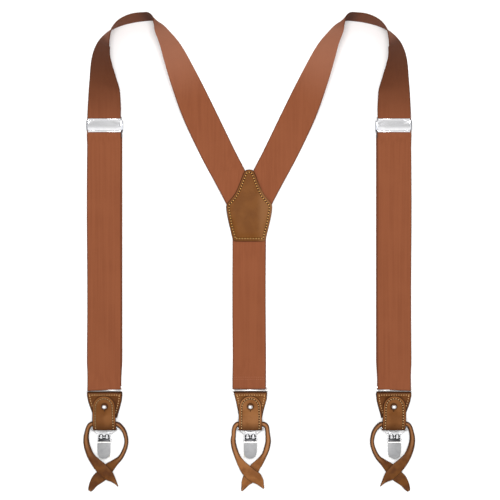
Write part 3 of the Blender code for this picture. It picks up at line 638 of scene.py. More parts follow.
def tube(name, rows, sides=20):
    """A closed skin swept through rows of x, y, z, width and thickness."""
    along = [0.0]
    for one, two in zip(rows, rows[1:]):
        along.append(along[-1] + (Vector(two[:3]) - Vector(one[:3])).length)
    rings, edges = [], []
    for i, (x, y, z, width, thickness) in enumerate(rows):
        way = (Vector(rows[min(i + 1, len(rows) - 1)][:3]) - Vector(rows[max(i - 1, 0)][:3])).normalized()
        across = Vector((way.y, -way.x, 0)).normalized()
        up = across.cross(way)
        ring, marks = [], []
        flat = 1 - min(1, thickness / width)
        power = 1 - 0.45 * flat
        for k in range(sides):
            angle = 2 * math.pi * k / sides
            c, s = math.cos(angle), math.sin(angle)
            c = math.copysign(abs(c) ** power, c)
            s = math.copysign(abs(s) ** power, s)
            ring.append(Vector((x, y, z)) + across * width / 2 * c + up * thickness / 2 * s)
            marks.append(abs(c) if s > -0.2 else 1.0)
        rings.append(ring)
        edges.append(marks)
    around = [k * 10.0 / sides for k in range(sides + 1)]
    made = loft(name, rings, around, along, edges)
    rolled = made.data.attributes.new("rolled", "FLOAT", "POINT")
    for i, (_, _, _, width, thickness) in enumerate(rows):
        for k in range(sides):
            rolled.data[i * sides + k].value = ease(thickness / width, 0.2, 0.6)
    return made


def drawn(name, lines, closed, dimensions="3D"):
    """A curve of straight runs through each line of finished points."""
    curve = bpy.data.curves.new(name, "CURVE")
    curve.dimensions = dimensions
    for points in lines:
        spline = curve.splines.new("POLY")
        spline.points.add(len(points) - 1)
        spline.use_cyclic_u = closed
        for point, spot in zip(spline.points, points):
            point.co = (*spot, 1)
    return curve


def plate(name, outlines, low, high, rounding=0.15, side=False):
    """Closed outlines cut from sheet metal with rounded edges, in plan or from the side as (y, z)."""
    shift = Vector((LAYOUT_Y, 0, 0) if side else (0, LAYOUT_Y, 0))
    lines = [[(Vector((*spot, 0)) + shift) * MM for spot in outline] for outline in outlines]
    curve = drawn(name, lines, True, "2D")
    curve.fill_mode = "BOTH"
    curve.extrude = ((high - low) / 2 - rounding) * MM
    curve.bevel_depth = rounding * MM
    curve.bevel_resolution = 2
    curve.offset = -rounding * MM
    made = baked(linked(name, curve))
    made.data.transform(Matrix.Translation((0, 0, (low + high) / 2 * MM)))
    if side:
        made.data.transform(Matrix(((0, 0, 1, 0), (1, 0, 0, 0), (0, 1, 0, 0), (0, 0, 0, 1))))
    return cleaned(made)


def cleaned(made):
    bm = bmesh.new()
    bm.from_mesh(made.data)
    bmesh.ops.remove_doubles(bm, verts=bm.verts, dist=0.002 * MM)
    bmesh.ops.recalc_face_normals(bm, faces=bm.faces)
    bm.to_mesh(made.data)
    bm.free()
    return made


def wire(name, points, radius):
    """A closed loop of round wire through the points."""
    curve = drawn(name, [[placed(*spot) for spot in points]], True)
    curve.bevel_depth = radius * MM
    curve.bevel_resolution = 5
    return cleaned(baked(linked(name, curve)))


def turned(name, profile, sides, spot):
    """A lathe shape: spot(h, a, b) places each point from its height and its two offsets from the axis."""
    bm = bmesh.new()
    rings = []
    for h, r in profile:
        turns = [2 * math.pi * k / sides for k in range(sides)] if r else [0]
        rings.append([bm.verts.new(placed(*spot(h, r * math.cos(t), r * math.sin(t)))) for t in turns])
    for one, two in zip(rings, rings[1:]):
        for k in range(sides):
            n = (k + 1) % sides
            corners = [one[k % len(one)], one[n % len(one)], two[n % len(two)], two[k % len(two)]]
            bm.faces.new(list(dict.fromkeys(corners)))
    return from_bmesh(name, bm)


def rod(name, y, z, low, high, radius, dome=0.5):
    """A round bar across the piece with domed ends."""
    profile = [(low - dome, 0), (low - dome * 0.75, radius * 0.6), (low, radius)]
    profile += [(high + low - h, r) for h, r in reversed(profile)]
    return turned(name, profile, 24, lambda h, a, b: (h, y + a, z + b))


def joined(name, parts):
    """Several finished shapes as one piece."""
    bm = bmesh.new()
    for part in parts:
        bm.from_mesh(part.data)
        bpy.data.objects.remove(part)
    mesh = bpy.data.meshes.new(name)
    bm.to_mesh(mesh)
    bm.free()
    return linked(name, mesh)


def cut(piece, cutters):
    """The piece with the cutters' shapes taken out of it."""
    for cutter in cutters:
        modifier = piece.modifiers.new("cut", "BOOLEAN")
        modifier.operation = "DIFFERENCE"
        modifier.solver = "EXACT"
        modifier.object = cutter
    made = baked(piece)
    for cutter in cutters:
        bpy.data.objects.remove(cutter)
    return made


def dress(piece, look, body=None, nodes=(), smooth=50):
    """Gives a piece its finish, its shading and its body, and hides the CAD nodes it stands for."""
    piece.data.materials.clear()
    piece.data.materials.append(look)
    piece.data.shade_smooth()
    piece.data.set_sharp_from_angle(angle=math.radians(smooth))
    if nodes:
        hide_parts(*nodes)
    if body:
        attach(piece, body)


# ---------------------------------------------------------------- stitches

def stitch_tree():
    """Geometry Nodes that lay one short thread at every pitch along a curve."""
    tree = bpy.data.node_groups.new("stitch_row", "GeometryNodeTree")
    inputs = {"Path": "Geometry", "Pitch": "Float", "Length": "Float", "Thickness": "Float", "Slant": "Float",
              "Thread": "Material"}
    for name, kind in inputs.items():
        tree.interface.new_socket(name, in_out="INPUT", socket_type=f"NodeSocket{kind}")
    tree.interface.new_socket("Row", in_out="OUTPUT", socket_type="NodeSocketGeometry")
    node = Graph(tree).node
    given = node("NodeGroupInput").outputs
    points = node("GeometryNodeCurveToPoints", {"mode": "LENGTH"}, {
        "Curve": given["Path"], "Length": given["Pitch"],
    }).outputs
    along = node("FunctionNodeAlignRotationToVector", {"axis": "X"}, {"Vector": points["Tangent"]})
    angles = node("ShaderNodeCombineXYZ", values={"Z": given["Slant"]})
    slanted = node("FunctionNodeRotateRotation", {"rotation_space": "LOCAL"}, {
        "Rotation": along.outputs["Rotation"], "Rotate By": angles.outputs[0],
    })
    bead = node("GeometryNodeMeshUVSphere", values={"Segments": 8, "Rings": 6, "Radius": 0.5})
    size = node("ShaderNodeCombineXYZ", values={
        "X": given["Length"], "Y": given["Thickness"], "Z": given["Thickness"],
    })
    laid = node("GeometryNodeInstanceOnPoints", values={
        "Points": points["Points"], "Instance": bead.outputs["Mesh"], "Rotation": slanted.outputs["Rotation"],
        "Scale": size.outputs[0],
    })
    real = node("GeometryNodeRealizeInstances", values={"Geometry": laid.outputs["Instances"]})
    dyed = node("GeometryNodeSetMaterial", values={
        "Geometry": real.outputs["Geometry"], "Material": given["Thread"],
    })
    node("NodeGroupOutput", values={"Row": dyed.outputs["Geometry"]})
    return tree


STITCHES = stitch_tree()


def stitches(name, rows, body, thread, pitch=2.9, length=2.0, thickness=0.62, slant=0.0):
    """Rows of stitching along 3-D lines, as one plain mesh that rides on a body."""
    made = linked(name, drawn(name, [[placed(*spot) for spot in points] for points in rows], False))
    modifier = made.modifiers.new("stitches", "NODES")
    modifier.node_group = STITCHES
    values = {"Pitch": pitch * MM, "Length": length * MM, "Thickness": thickness * MM, "Slant": slant,
              "Thread": thread}
    for item in STITCHES.interface.items_tree:
        if item.in_out == "INPUT" and item.name in values:
            modifier[item.identifier] = values[item.name]
    made = baked(made)
    made.data.shade_smooth()
    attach(made, body)


# ---------------------------------------------------------------- straps

def run_z(y):
    """Height of the upper ply's middle between the ring and the adjuster."""
    bar = END_Y + RING_PITCH
    over_ring = (RING_Z + FOLD_RADIUS - DOUBLE_Z) * (1 - ease(y, bar, bar + 18))
    into_plate = (THROUGH_Z - DOUBLE_Z) * ease(y, ADJUSTER_Y - 22, ADJUSTER_Y - 7)
    return DOUBLE_Z + over_ring + into_plate


def slack(y):
    """1 along the free part of the doubled run, 0 where the ring and the adjuster hold its width."""
    return ease(y, END_Y + 8, END_Y + 34) * (1 - ease(y, ADJUSTER_Y - 12, ADJUSTER_Y - 2))


def span(start, end, step):
    count = max(1, round(abs(end - start) / step))
    return [start + (end - start) * i / count for i in range(count + 1)]


def shoulder_rows(side, path):
    """Both edges of the single ply, from the adjuster over the shoulder to the patch."""
    sign = SIDES[side]
    rows = []
    for i, (x, y, tip) in enumerate(path):
        before, after = path[max(i - 1, 0)], path[min(i + 1, len(path) - 1)]
        way = Vector((after[0] - before[0], after[1] - before[1])).normalized()
        inward = Vector((-way.y, way.x))
        tip = math.radians(tip)
        z = SINGLE_Z * math.cos(tip)
        wide = STRAP_WIDTH
        if x > FRONT_X:
            z += (THROUGH_Z - SINGLE_Z) * (1 - ease(y, ADJUSTER_Y + 8, ADJUSTER_Y + 45))
        if x < FRONT_X / 2:
            z += (STRAP_LEVELS[side] - SINGLE_Z) * (1 - ease(y, *PATCH_RISE))
            wide -= PATCH_NARROWING * (1 - ease(y, 60, 130))
        across, rise = wide * math.cos(tip), wide * math.sin(tip)
        rows.append(((sign * x, y, z), (sign * (x + across * inward.x), y + across * inward.y, z + rise)))
    return rows


def mark_turn(strap, path, first, ring_size):
    """Marks the painted shade and the painted light on the elastic round its shoulder turn."""
    shaded = strap.data.attributes.new("shaded", "FLOAT", "POINT")
    painted_light = strap.data.attributes.new("painted_light", "FLOAT", "POINT")
    for i, (x, y, _) in enumerate(path):
        front = ease(y, 100, 205) * ease(x, 150, 158)
        top = 0.25 + 0.75 * (1 - ease(x, 103, 118))
        dark = front if x > 158 else (front + (1 - ease(x, 150, 158)) * top) * ease(x, 93, 99)
        light = ease(y, 160, 215) * (1 - ease(x, 84, 95))
        for k in range((first + i) * ring_size, (first + i + 1) * ring_size):
            shaded.data[k].value = dark
            painted_light.data[k].value = light


def front_strap(side):
    """One length of elastic from the ring, up the front, over the shoulder and down under the patch."""
    sign = SIDES[side]
    bar = END_Y + RING_PITCH
    outer, inner = FRONT_X + STRAP_HALF, FRONT_X - STRAP_HALF
    rows = []
    for y, z in reversed(arc(bar, RING_Z, FOLD_RADIUS, 90, 270)):
        skew = 2.09 * ease(z, RING_Z - FOLD_RADIUS, RING_Z)
        rows.append(((sign * outer, y - skew, z), (sign * inner, y - 0.4, z)))
    for y in span(bar + 1, ADJUSTER_Y - 1, 3)[:-1]:
        wide, z = slack(y), run_z(y)
        wander = 0.25 * math.sin(y / 31.0) * wide
        rows.append(((sign * (outer + 0.7 * wide + wander), y, z), (sign * (inner - 0.1 * wide + wander), y, z)))
    path = smooth_path(SHOULDER_EDGE, 8)
    first = len(rows)
    rows += shoulder_rows(side, path)
    strap = band(f"front_strap_{side}", rows, ELASTIC, WEBBING)
    mark_turn(strap, path, first, len(strap.data.vertices) // len(rows))
    dress(strap, ELASTIC_LOOK, nodes=[f"shoulder_strap_{side}"])
    start = Vector((sign * 150.0, 118.0, 0))
    end = start + Vector((sign * 0.5, -1, 0)) * LENGTHENING
    placed(*start)
    placed(*end)
    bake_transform(strap)


def return_ply(side):
    """The elastic's way back: from the ring up behind the front ply to its hem on the adjuster's bar."""
    sign = SIDES[side]
    outer, inner = FRONT_X + STRAP_HALF, FRONT_X - STRAP_HALF
    rows = []
    for y in span(END_Y + RING_PITCH, HEM_Y, 3)[:-1]:
        wide = slack(y)
        rows.append(((sign * (outer - 0.9 * wide), y, SINGLE_Z), (sign * (inner - 1.1 * wide), y, SINGLE_Z)))
    hem = arc(HEM_Y, HEM_Z, HEM_RADIUS, -90, 90) + [(HEM_Y - 2.5, 3.35), (HEM_Y - 5, 3.0), (HEM_Y - 8.5, 2.35)]
    rows += [((sign * outer, y, z), (sign * inner, y, z)) for y, z in hem]
    ply = band(f"return_ply_{side}", rows, ELASTIC, WEBBING)
    dress(ply, ELASTIC_LOOK, nodes=[f"adjusting_loop_{side}"])
    placed(0, -110, 0)
    placed(0, 112, 0)
    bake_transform(ply)


def back_strap():
    """From between the patch leathers down to the back ring, its end turned under and sewn."""
    bar = END_Y + RING_PITCH
    stations = []
    for y in span(42, bar + 1, 3):
        z = 2.1 - 1.5 * (1 - ease(y, -14, 8)) + (RING_Z + FOLD_RADIUS - SINGLE_Z) * (1 - ease(y, bar, bar + 30))
        stations.append((y, z))
    stations += arc(bar, RING_Z, FOLD_RADIUS, 90, 270)
    stations += [(y, SINGLE_Z) for y in span(bar + 1, bar + 13, 2)]
    rows = []
    for y, z in stations:
        wander = 0.2 * math.sin(y / 27.0) * ease(y, END_Y + 8, END_Y + 34)
        rows.append(((wander - STRAP_HALF, y, z), (wander + STRAP_HALF, y, z)))
    strap = band("back_strap_elastic", rows, ELASTIC, WEBBING)
    dress(strap, ELASTIC_LOOK, "root", ["back_strap"])
    seams = []
    for rise in (8.2, 10.4):
        y = bar + rise
        z = SINGLE_Z + (RING_Z + FOLD_RADIUS - SINGLE_Z) * (1 - ease(y, bar, bar + 30)) + ELASTIC / 2
        seams.append([(x, y, z) for x in (2 - STRAP_HALF, STRAP_HALF - 2)])
    stitches("back_strap_seam", seams, "root", SEAM_THREAD, 1.9, 1.3, 0.4)


# ---------------------------------------------------------------- patch

def mirrored(right):
    return [*right, *[(-x, y) for x, y in reversed(right) if x > 0.01]]


def patch_height(x, y):
    """The front leather is pulled down at its edge, and domed where the straps cross beneath it."""
    nearest = min((Vector((x, y)) - p).length for p in PATCH_LINE)
    over_straps = ease(y, 24, 38)
    over_back = ease(y, 44, 30) * (1 - ease(abs(x), 16.0, 19.5))
    at_edge = 2.2 + 4.1 * over_straps + 1.7 * (1 - over_straps) * over_back
    crown = 6.9 - 0.9 * ease(y, 34, 12)
    return at_edge + (crown - at_edge) * ease(nearest, 0.0, 9.0)


def patch_surface(x, y):
    step = 0.4
    z = patch_height(x, y)
    slope_x = (patch_height(x + step, y) - patch_height(x - step, y)) / (2 * step)
    slope_y = (patch_height(x, y + step) - patch_height(x, y - step)) / (2 * step)
    return (x, y, z), Vector((-slope_x, -slope_y, 1)).normalized()


PATCH_SHAPE = smooth_path(mirrored(PATCH_OUTLINE), 4, True)
PATCH_LINE = even_points(PATCH_SHAPE, 1.5)


def back_patch():
    front = sheet("patch_front_leather", PATCH_SHAPE, PATCH_CENTRE, patch_surface, 1.2, 3.1)
    dress(front, PATCH_LOOK, "root", ["patch_front"])
    backing = sheet("patch_back_leather", PATCH_SHAPE, PATCH_CENTRE, lambda x, y: ((x, y, 0.6), (0, 0, 1)), 1.2)
    dress(backing, PATCH_LOOK, "root", ["patch_back"])
    line = inset_line(PATCH_SHAPE, 3.1, PATCH_CENTRE)
    line.append(line[0])
    seam = []
    for spot in line:
        point, facing = patch_surface(*spot)
        seam.append(Vector(point) + facing * 0.55)
    stitches("patch_stitching", [seam], "root", PATCH_THREAD, 2.9, 1.3, 1.05, 0.2)


# ---------------------------------------------------------------- leather ends

def tab(end, x):
    """Leather turned round the ring's lower bar, its two leaves sewn together."""
    bar = -RING_PITCH
    low = [(-28.6, 1.5), (-20, 1.5), (-12, 1.5), (-9, 1.45), (-7.6, 1.25), (-6, 0.85), (-4.8, 0.65)]
    high = [(-4.8, 3.95), (-6, 3.75), (-7.6, 3.2), (-9, 2.85), (-12, 2.75), (-20, 2.75), (-28.6, 2.75)]
    path = low + arc(bar, RING_Z, FOLD_RADIUS, -90, 90) + high
    dense = []
    for (a, b), (c, d) in zip(path, path[1:]):
        steps = max(1, round(abs(c - a) / 1.5))
        dense += [(a + (c - a) * i / steps, b + (d - b) * i / steps) for i in range(steps)]
    dense.append(path[-1])
    tables = TAB_WIDTHS["back" if end == "back" else "front"]
    hand = HAND[end]

    def half(v, side):
        table = tables[side == hand]
        for (a, p), (b, q) in zip(table, table[1:]):
            if a <= v <= b:
                return p + (q - p) * (v - a) / (b - a)
        return table[-1][1]

    rows = [((x - half(v, -1), END_Y + v, z), (x + half(v, 1), END_Y + v, z)) for v, z in dense]
    piece = band(f"tab_leather_{end}", rows, 1.2, LEATHER_EDGE)
    dress(piece, LEATHERS[end]["tab"], f"tab_{end}", [f"tab_{end}"])
    seams = []
    for side in (-1, 1):
        vs = span(-6.0, -26.0, 1.5)
        seams.append([(x + side * (half(v, side) - 2.9), END_Y + v, 4.3 - 0.9 * ease(v, -5.5, -11)) for v in vs])
    top = -4.7
    seams.append([(x + u, END_Y + top, 4.5) for u in (2.9 - half(top, -1), half(top, 1) - 2.9)])
    stitches(f"tab_stitching_{end}", seams, f"tab_{end}", END_THREAD, 2.5, 1.35, 0.75)


def hanger(end, x):
    """The strip's back layer, which holds the button-ear cord and carries the bail in its fold."""
    half = FLAP_HALF - 1
    stations = [(v, 4.4, h) for v, h in arc(-9.4 - half, 0, half, 2.55, 90, 7.29)]
    stations += [(-22, 4.4, 11.6), (-26, 4.4, 12.0), (-29, 4.3, 12.0), (-30.2, 3.3, 12.0), (-31.2, 2.0, 12.0),
                 (-32.4, 1.3, 12.0), (-35, 1.2, 12.0), (-37.8, 1.2, 12.0)]
    rows = [((x - h, END_Y + v, z), (x + h, END_Y + v, z)) for v, z, h in stations]
    piece = band(f"hanger_leather_{end}", rows, 1.2, LEATHER_EDGE)
    dress(piece, LEATHERS[end]["tab"], f"tab_{end}", [f"hanger_{end}"])


def flap_route(s):
    """Where the flap's strip is s millimetres from the foot of its fold: v, z and the way it faces."""
    turn = math.pi * STRIP_RADIUS
    if s <= turn:
        angle = math.radians(270) - s / STRIP_RADIUS
        facing = (math.cos(angle), math.sin(angle))
        return FOLD_Y + STRIP_RADIUS * facing[0], FOLD_Z + STRIP_RADIUS * facing[1], facing
    v = FOLD_Y + s - turn
    slope = (flap_drop(v + 0.2) - flap_drop(v - 0.2)) / 0.4
    facing = Vector((slope, 1)).normalized()
    return v, HINGE_Z - flap_drop(v), tuple(facing)


def flap_drop(v):
    return (HINGE_Z - FLAP_Z) * ease(v, -35, -24)


def flap(end, x):
    """The strip's front layer: round-topped, stitched, folded at its foot and buttoned over the stud."""
    turn = math.pi * STRIP_RADIUS
    top = turn + FLAP_TOP - FOLD_Y
    radius = 11.9
    right = [(6.5, 0), (8.6, 0.4), (10.3, 1.5), (11.4, 3.2), (11.8, 5.2), (11.9, 7.5), (12.1, 12), (FLAP_HALF, 18),
             (FLAP_HALF, 24), (12.0, top - radius), *arc(0, top - radius, radius, 10, 90, 8), (0, top)]
    outline = [*right, *[(-u, s) for u, s in reversed(right[:-1])]]
    centre = (0, 22)
    lean = stud_in(end)

    def surface(u, s):
        v, z, facing = flap_route(max(0, s))
        low = 1 - ease(s, 8, 24)
        return (x + u * (1 + 0.03 * low) + lean * low, END_Y + v, z), Vector((0, *facing))

    piece = sheet(f"flap_leather_{end}", outline, centre, surface, 1.35, 3.1, 30)
    hole = plate(f"flap_hole_cut_{end}", [keyhole(x + lean)], 3.0, 9.5, 0.01)
    piece = cut(piece, [hole])
    # Painted shade in the leather's dimple round the stud hole, darkest at the hole.
    stud_shade = piece.data.attributes.new("stud_shade", "FLOAT", "POINT")
    middle = placed(x + lean, END_Y + STUD_Y, 0).xy
    for vertex in piece.data.vertices:
        stud_shade.data[vertex.index].value = 1 - ease((vertex.co.xy - middle).length / MM, 2.8, 4.6)
    dress(piece, LEATHERS[end]["flap"], nodes=[f"snap_flap_{end}"])
    placed(x, END_Y - 38, 6.2)
    placed(x, END_Y - 34, 8.0)
    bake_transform(piece)
    line = [p for p in inset_line(outline, 3.1, centre) if p.y > turn - 1.0]
    lower = sorted((p for p in line if p.x > 0 and p.y < centre[1]), key=lambda p: p.y)
    upper = sorted((p for p in line if p.y >= centre[1]), key=lambda p: math.atan2(p.y - centre[1], p.x))
    left = sorted((p for p in line if p.x < 0 and p.y < centre[1]), key=lambda p: -p.y)
    seam = []
    for u, s in [*lower, *upper, *left]:
        point, facing = surface(u, s)
        seam.append(Vector(point) + facing * THREAD_RISE)
    stitches(f"flap_stitching_{end}", [seam], f"flap_{end}", END_THREAD, 2.6, 1.2, 0.9, 0.2)


def stud_in(end):
    """How far the stud stands off the flap's middle."""
    return 0.0 if end == "back" else 0.9 * HAND[end]


def keyhole(x):
    """Round hole with a short slit towards the fold."""
    radius, half, foot = 2.75, 0.4, END_Y + STUD_Y - 5.3
    start = math.degrees(math.asin(half / radius))
    return [*arc(x, END_Y + STUD_Y, radius, start - 90, 270 - start, 12.26), (x - half, foot), (x + half, foot)]


def button_ears(end, x):
    """One strip of leather, rolled to a cord behind the flap and flat at its crossed ends."""
    hand = HAND[end]
    rows = []
    for u, v, z, width, thickness in smooth_path(BACK_EARS if end == "back" else FRONT_EARS, 7):
        rows.append((x + hand * u, END_Y + v, z, width, thickness))
    piece = tube(f"button_ears_leather_{end}", rows, 22)
    dress(piece, LEATHERS[end]["cord"], f"ears_{end}", [f"button_ears_{end}"], 80)


# ---------------------------------------------------------------- metal

def ring(end, x):
    """Flat wire ring with a bright middle bar between the elastic and the leather."""
    radius, half = 1.2, 18.0
    loop = []
    for cx, cy, start in ((1, 1, 0), (-1, 1, 90), (-1, -1, 180), (1, -1, 270)):
        corner = (x + cx * (half - radius), END_Y + cy * (RING_PITCH - radius))
        loop += [(*spot, RING_Z) for spot in arc(*corner, radius, start, start + 90)]
    parts = [wire(f"ring_loop_{end}", loop, 0.7)]
    reach = RING_HALF + 0.2
    thick, level = (0.85, RING_Z) if end == "back" else (0.7, RING_Z - 0.7)
    parts.append(rod(f"ring_middle_{end}", END_Y, level, x - reach, x + reach, thick, 0.3))
    for side in (-1, 1):
        low, high = sorted((x + side * (reach - 1.1), x + side * (reach + 0.1)))
        parts.append(rod(f"ring_knob_{end}_{side}", END_Y, RING_Z, low, high, 1.25, 0.35))
    piece = joined(f"ring_nickel_{end}", parts)
    # The ring in the brightened nickel: painted highlight.
    dress(piece, HIGHLIGHT_NICKEL, f"ring_{end}", [f"ring_{end}"], 60)


def stud(end, x):
    """Turned ball stud."""
    x += stud_in(end)
    ball = arc(9.2, 0, 2.5, 6, 150, 8)
    profile = [(11.7, 0), *ball, (6.6, 1.2), (1.0, 1.15), (0.7, 1.4), (0.6, 3.2), (0.4, 3.4), (0.05, 3.3), (0, 0)]
    piece = turned(f"stud_nickel_{end}", profile, 32, lambda h, a, b: (x + a, END_Y + STUD_Y + b, h))
    dress(piece, POLISHED, f"tab_{end}", [f"stud_{end}"], 60)


def bail(end, x):
    """Bent wire from the strip's fold to the clip."""
    right = [(9.0, -39.2, 3.6), (12.7, -39.2, 3.6), (13.5, -39.4, 3.6), (13.8, -40.0, 3.6), (13.6, -40.7, 3.5),
             (12.9, -41.4, 3.3), (7.6, -45.2, 2.7), (6.8, -45.6, 2.6), (5.8, -45.9, 2.6), (2, -45.9, 2.6)]
    loop = right + [(-a, b, c) for a, b, c in reversed(right)]
    piece = wire(f"bail_nickel_{end}", [(x + a, END_Y + b, c) for a, b, c in loop], BAIL_RADIUS)
    dress(piece, POLISHED, f"bail_{end}", [f"bail_{end}"], 60)


def rounded(points, radius, steps=4):
    """An outline with its corners rounded."""
    made = []
    count = len(points)
    for i in range(count):
        before, here, after = Vector(points[i - 1]), Vector(points[i]), Vector(points[(i + 1) % count])
        reach = min(radius, (before - here).length / 2, (after - here).length / 2)
        a = here + (before - here).normalized() * reach
        b = here + (after - here).normalized() * reach
        for k in range(steps + 1):
            t = k / steps
            spot = a.lerp(here, t).lerp(here.lerp(b, t), t)
            made.append((spot.x, spot.y))
    return made


def clip(end, x):
    """Spring clip: stamped face with two arched windows, its fingers, cheeks, back plate, pin and lever."""
    def at(points):
        return [(x + a, END_Y + b) for a, b in points]

    base = rounded(at([(-6.0, -69.6), (6.0, -69.6), (6.4, -43.6), (-6.4, -43.6)]), 1.5)
    back = plate("clip_back", [base], 0.3, 1.1)
    outer = [(-6.6, -49.4), (6.6, -49.4), (6.6, -45.2), (4.6, -43.5), (-4.6, -43.5), (-6.6, -45.2)]
    outer = rounded(at(outer), 1.2)
    windows = []
    for middle in (-3.0, 3.0):
        arch = arc(middle, -47.9, 2.75, 0, 180, 20, 2.6)
        windows.append(at([(middle + 2.75, -49.1), *arch, (middle - 2.75, -49.1)]))
    face = plate("clip_face", [outer, *windows], 4.0, 4.8, 0.12)
    parts = [back, face]
    for hand in (-1, 1):
        tip = arc(hand * 3.0, -47.0, 1.15, 0, 180, 20)
        finger = at([(hand * 3.0 + 1.15, -50.2), *tip, (hand * 3.0 - 1.15, -50.2)])
        parts.append(plate(f"clip_finger_{hand}", [finger], 3.9, 4.7, 0.2))
        low, high = sorted((x + hand * 6.2, x + hand * 7.0))
        cheek = [(-54.2, 0.3), (-47.4, 0.3), (-47.4, 4.8), (-52.4, 4.8), (-54.2, 3.4)]
        parts.append(plate(f"clip_cheek_{hand}", [[(END_Y + a, b) for a, b in cheek]], low, high, 0.15, True))
    edge = [(END_Y + a, b) for a, b in ((-44.4, 0.6), (-43.6, 0.6), (-43.6, 4.4), (-44.4, 4.4))]
    lip = plate("clip_lip", [edge], x - 3.6, x + 3.6, 0.15, True)
    body = joined(f"clip_nickel_{end}", [*parts, lip])
    dress(body, POLISHED, f"clip_{end}", [f"clip_body_{end}"], 40)

    # A near-black plate behind the windows: painted shade inside the clip.
    inner = at([(-6.0, -49.3), (6.0, -49.3), (6.0, -44.6), (-6.0, -44.6)])
    inside = plate(f"clip_window_shade_{end}", [inner], 3.2, 3.7, 0.1)
    dress(inside, SHADE_STEEL, f"clip_{end}")

    pin = rod(f"clip_pin_nickel_{end}", END_Y + PIN_Y, PIN_Z, x - 7.5, x + 7.5, 0.75, 0.45)
    dress(pin, POLISHED, f"clip_{end}", [f"clip_pin_{end}"], 60)

    outline = mirrored([(6.8, -54.9), (6.7, -63.5), (6.0, -66.9), (4.6, -69.3), (2.4, -70.6), (0, -70.9)])
    lever = plate(f"clip_lever_satin_{end}", [rounded(at(outline), 0.8, 3)], 5.0, 5.8, 0.22)
    roll = rod(f"clip_lever_roll_{end}", END_Y - 53.9, 5.2, x - 6.6, x + 6.6, 0.95, 0.3)
    # The web round the pin is near-black: painted shade in the recess between the fingers and the lever's roll.
    web = arc(PIN_Y, PIN_Z, 1.7, -150, 60) + [(-54.7, 5.6), (-57.5, 5.2), (-54.0, 4.0)]
    web = plate(f"clip_cam_{end}", [[(END_Y + a, b) for a, b in web]], x - 5.6, x + 5.6, 0.1, True)
    # The lever's roll in the brightened nickel: painted highlight.
    dress(roll, HIGHLIGHT_NICKEL, f"clip_lever_{end}")
    dress(lever, SATIN, f"clip_lever_{end}", [f"clip_lever_{end}"], 40)
    dress(web, SHADE_STEEL, f"clip_lever_{end}")


def adjuster(side):
    """Stamped slide: a plate rolled over at its top and bottom, with ears turned back at both ends."""
    x = SIDES[side] * (FRONT_X - 0.7)
    half_x = 17.5
    y_mid = ADJUSTER_Y - 0.7
    profile = [(-6.9, 6.2), *arc(-6.0, 6.35, 0.9, 180, 20, 20, 0.75), (-4.6, 6.42), (0, 6.46), (4.6, 6.42),
               *arc(6.0, 6.35, 0.9, 160, 0, 20, 0.75), (6.9, 6.2), (6.6, 5.85), (0, 5.8), (-6.6, 5.85)]
    stations = [(-1, 0.72, 0.8), (-0.985, 0.78, 1), (-0.955, 0.9, 1), (-0.915, 1, 1), (-0.5, 1, 1), (0, 1, 1)]
    stations += [(-a, b, c) for a, b, c in reversed(stations[:-1])]
    rings = [[(x + share * half_x, y_mid + y * wide, 6.1 + (z - 6.1) * thick) for y, z in profile]
             for share, wide, thick in stations]
    around = [float(i) for i in range(len(profile) + 1)]
    along = [float(i) for i in range(len(rings))]
    parts = [loft("adjuster_face", rings, around, along)]
    parts.append(rod("hem_bar", HEM_Y, HEM_Z, x - 18.4, x + 18.4, 0.5, 0.2))
    for rise in (-6.5, 6.5):
        parts.append(rod(f"adjuster_roll_{rise}", y_mid + rise, 6.25, x - 16.7, x + 16.7, 0.75, 0.6))
    ears, marks = [], []
    ear = [(-4.6, 6.2), (-6.0, 3.4), (-6.0, 1.4), (-5.2, 0.9), (3.4, 0.9), (4.4, 1.9), (4.4, 6.2)]
    ear = [(ADJUSTER_Y + a, b) for a, b in ear]
    shoulder = [(17.0, 5.2), (18.2, 5.0), (18.9, 4.2), (18.9, -4.2), (18.2, -5.0), (17.0, -5.2)]
    for hand in (-1, 1):
        low, high = sorted((x + hand * 18.1, x + hand * 18.9))
        ears.append(plate(f"adjuster_ear_{hand}", [ear], low, high, 0.12, True))
        top = [(x + hand * a, y_mid + b) for a, b in shoulder]
        ears.append(plate(f"adjuster_shoulder_{hand}", [top], 5.7, 6.25, 0.1))
        rivet = x + hand * 18.4
        ears.append(rod(f"adjuster_rivet_{hand}", ADJUSTER_Y + 1.5, 2.4, rivet - 0.45, rivet + 0.45, 0.95, 0.15))
        mark = arc(x + hand * 16.1, y_mid, 0.45, 0, 330, 30, 0.9)
        marks.append(plate(f"adjuster_mark_{hand}", [mark], 6.2, 6.52, 0.05))
    ears = joined(f"adjuster_ears_{side}", ears)
    # The adjuster's ends and dimples in the darkened nickel, painted shade.
    dress(ears, SHADED_NICKEL, f"adjuster_{side}", smooth=35)
    marks = joined(f"adjuster_dimples_{side}", marks)
    dress(marks, SHADED_NICKEL, f"adjuster_{side}")
    inner = -SIDES[side]
    edge = x + inner * 17.3
    teeth = [(edge, 127.5), (edge + inner * 1.3, 127.5), (edge + inner * 1.4, 124.4)]
    for i in range(3):
        teeth += [(edge + inner * 0.5, 123.6 - 1.7 * i), (edge + inner * 1.3, 122.9 - 1.7 * i)]
    teeth.append((edge, 118.4))
    # The teeth under the plate are near-black: painted shade.
    grip = plate(f"adjuster_teeth_{side}", [teeth], 3.6, 4.4, 0.08)
    dress(grip, SHADE_STEEL, f"adjuster_{side}")
    piece = joined(f"adjuster_nickel_{side}", parts)
    dress(piece, PLATE, f"adjuster_{side}", [f"adjuster_plate_{side}"], 35)


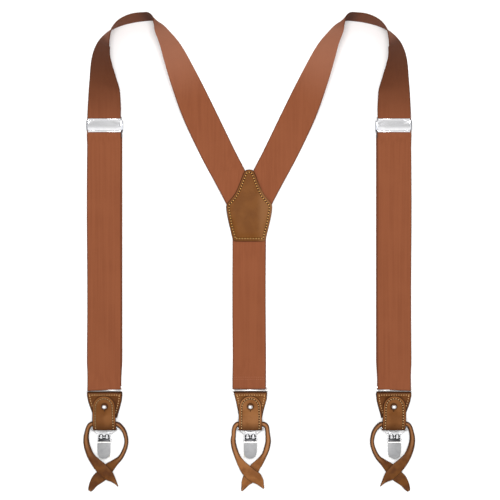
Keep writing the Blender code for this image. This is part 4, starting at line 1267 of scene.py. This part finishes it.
def kept_nodes():
    """CAD pieces whose shape is right as it is."""
    # The adjuster's lever, under the plate, is near-black: painted shade.
    looks = {"jaw_pad": PLASTIC, "adjuster_lever": SHADE_STEEL}
    for name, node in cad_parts.items():
        for start, look in looks.items():
            if name.startswith(start):
                node.data.materials.clear()
                node.data.materials.append(look)


# ---------------------------------------------------------------- studio

def studio():
    bm = bmesh.new()
    bmesh.ops.create_grid(bm, x_segments=1, y_segments=1, size=4.0)
    floor = from_bmesh("floor", bm)
    floor.data.transform(Matrix.Translation((0, 0, -0.0004)))
    paper = Look("floor_paper")
    paper.feed(Base_Color=(0.93, 0.93, 0.93, 1), Roughness=0.9)
    floor.data.materials.append(paper.material)

    world = bpy.data.worlds.new("studio")
    SCENE.world = world
    world.use_nodes = True
    graph = Graph(world.node_tree)
    way = graph.node("ShaderNodeTexCoord").outputs["Generated"]
    height = graph.node("ShaderNodeSeparateXYZ", values={0: way}).outputs["Z"]
    sky = graph.node("ShaderNodeValToRGB", values={"Fac": height})
    stops = sky.color_ramp.elements
    stops[0].position, stops[1].position = SKY[0][0], SKY[-1][0]
    for spot, _ in SKY[1:-1]:
        stops.new(spot)
    for stop, (_, glow) in zip(stops, SKY):
        stop.color = (glow, glow, glow, 1)
    graph.put(world.node_tree.nodes["Background"].inputs["Color"], sky.outputs["Color"])

    light = bpy.data.lights.new("key", "AREA")
    light.shape = "SQUARE"
    light.size = KEY_SIZE
    light.energy = KEY_ENERGY
    key = linked("key", light)
    key.location = KEY_SPOT
    key.rotation_mode = "QUATERNION"
    key.rotation_quaternion = (-Vector(KEY_SPOT)).to_track_quat("-Z", "Y")

    data = bpy.data.cameras.new("camera")
    data.sensor_width = 36.0
    data.lens = 68.57
    camera = linked("camera", data)
    camera.location = CAMERA_SPOT
    SCENE.camera = camera
    SCENE.view_settings.view_transform = "Standard"


studio()
kept_nodes()
back_patch()
back_strap()
for side in SIDES:
    front_strap(side)
    return_ply(side)
    adjuster(side)
for end, x in ENDS.items():
    ring(end, x)
    tab(end, x)
    hanger(end, x)
    flap(end, x)
    stud(end, x)
    button_ears(end, x)
    bail(end, x)
    clip(end, x)
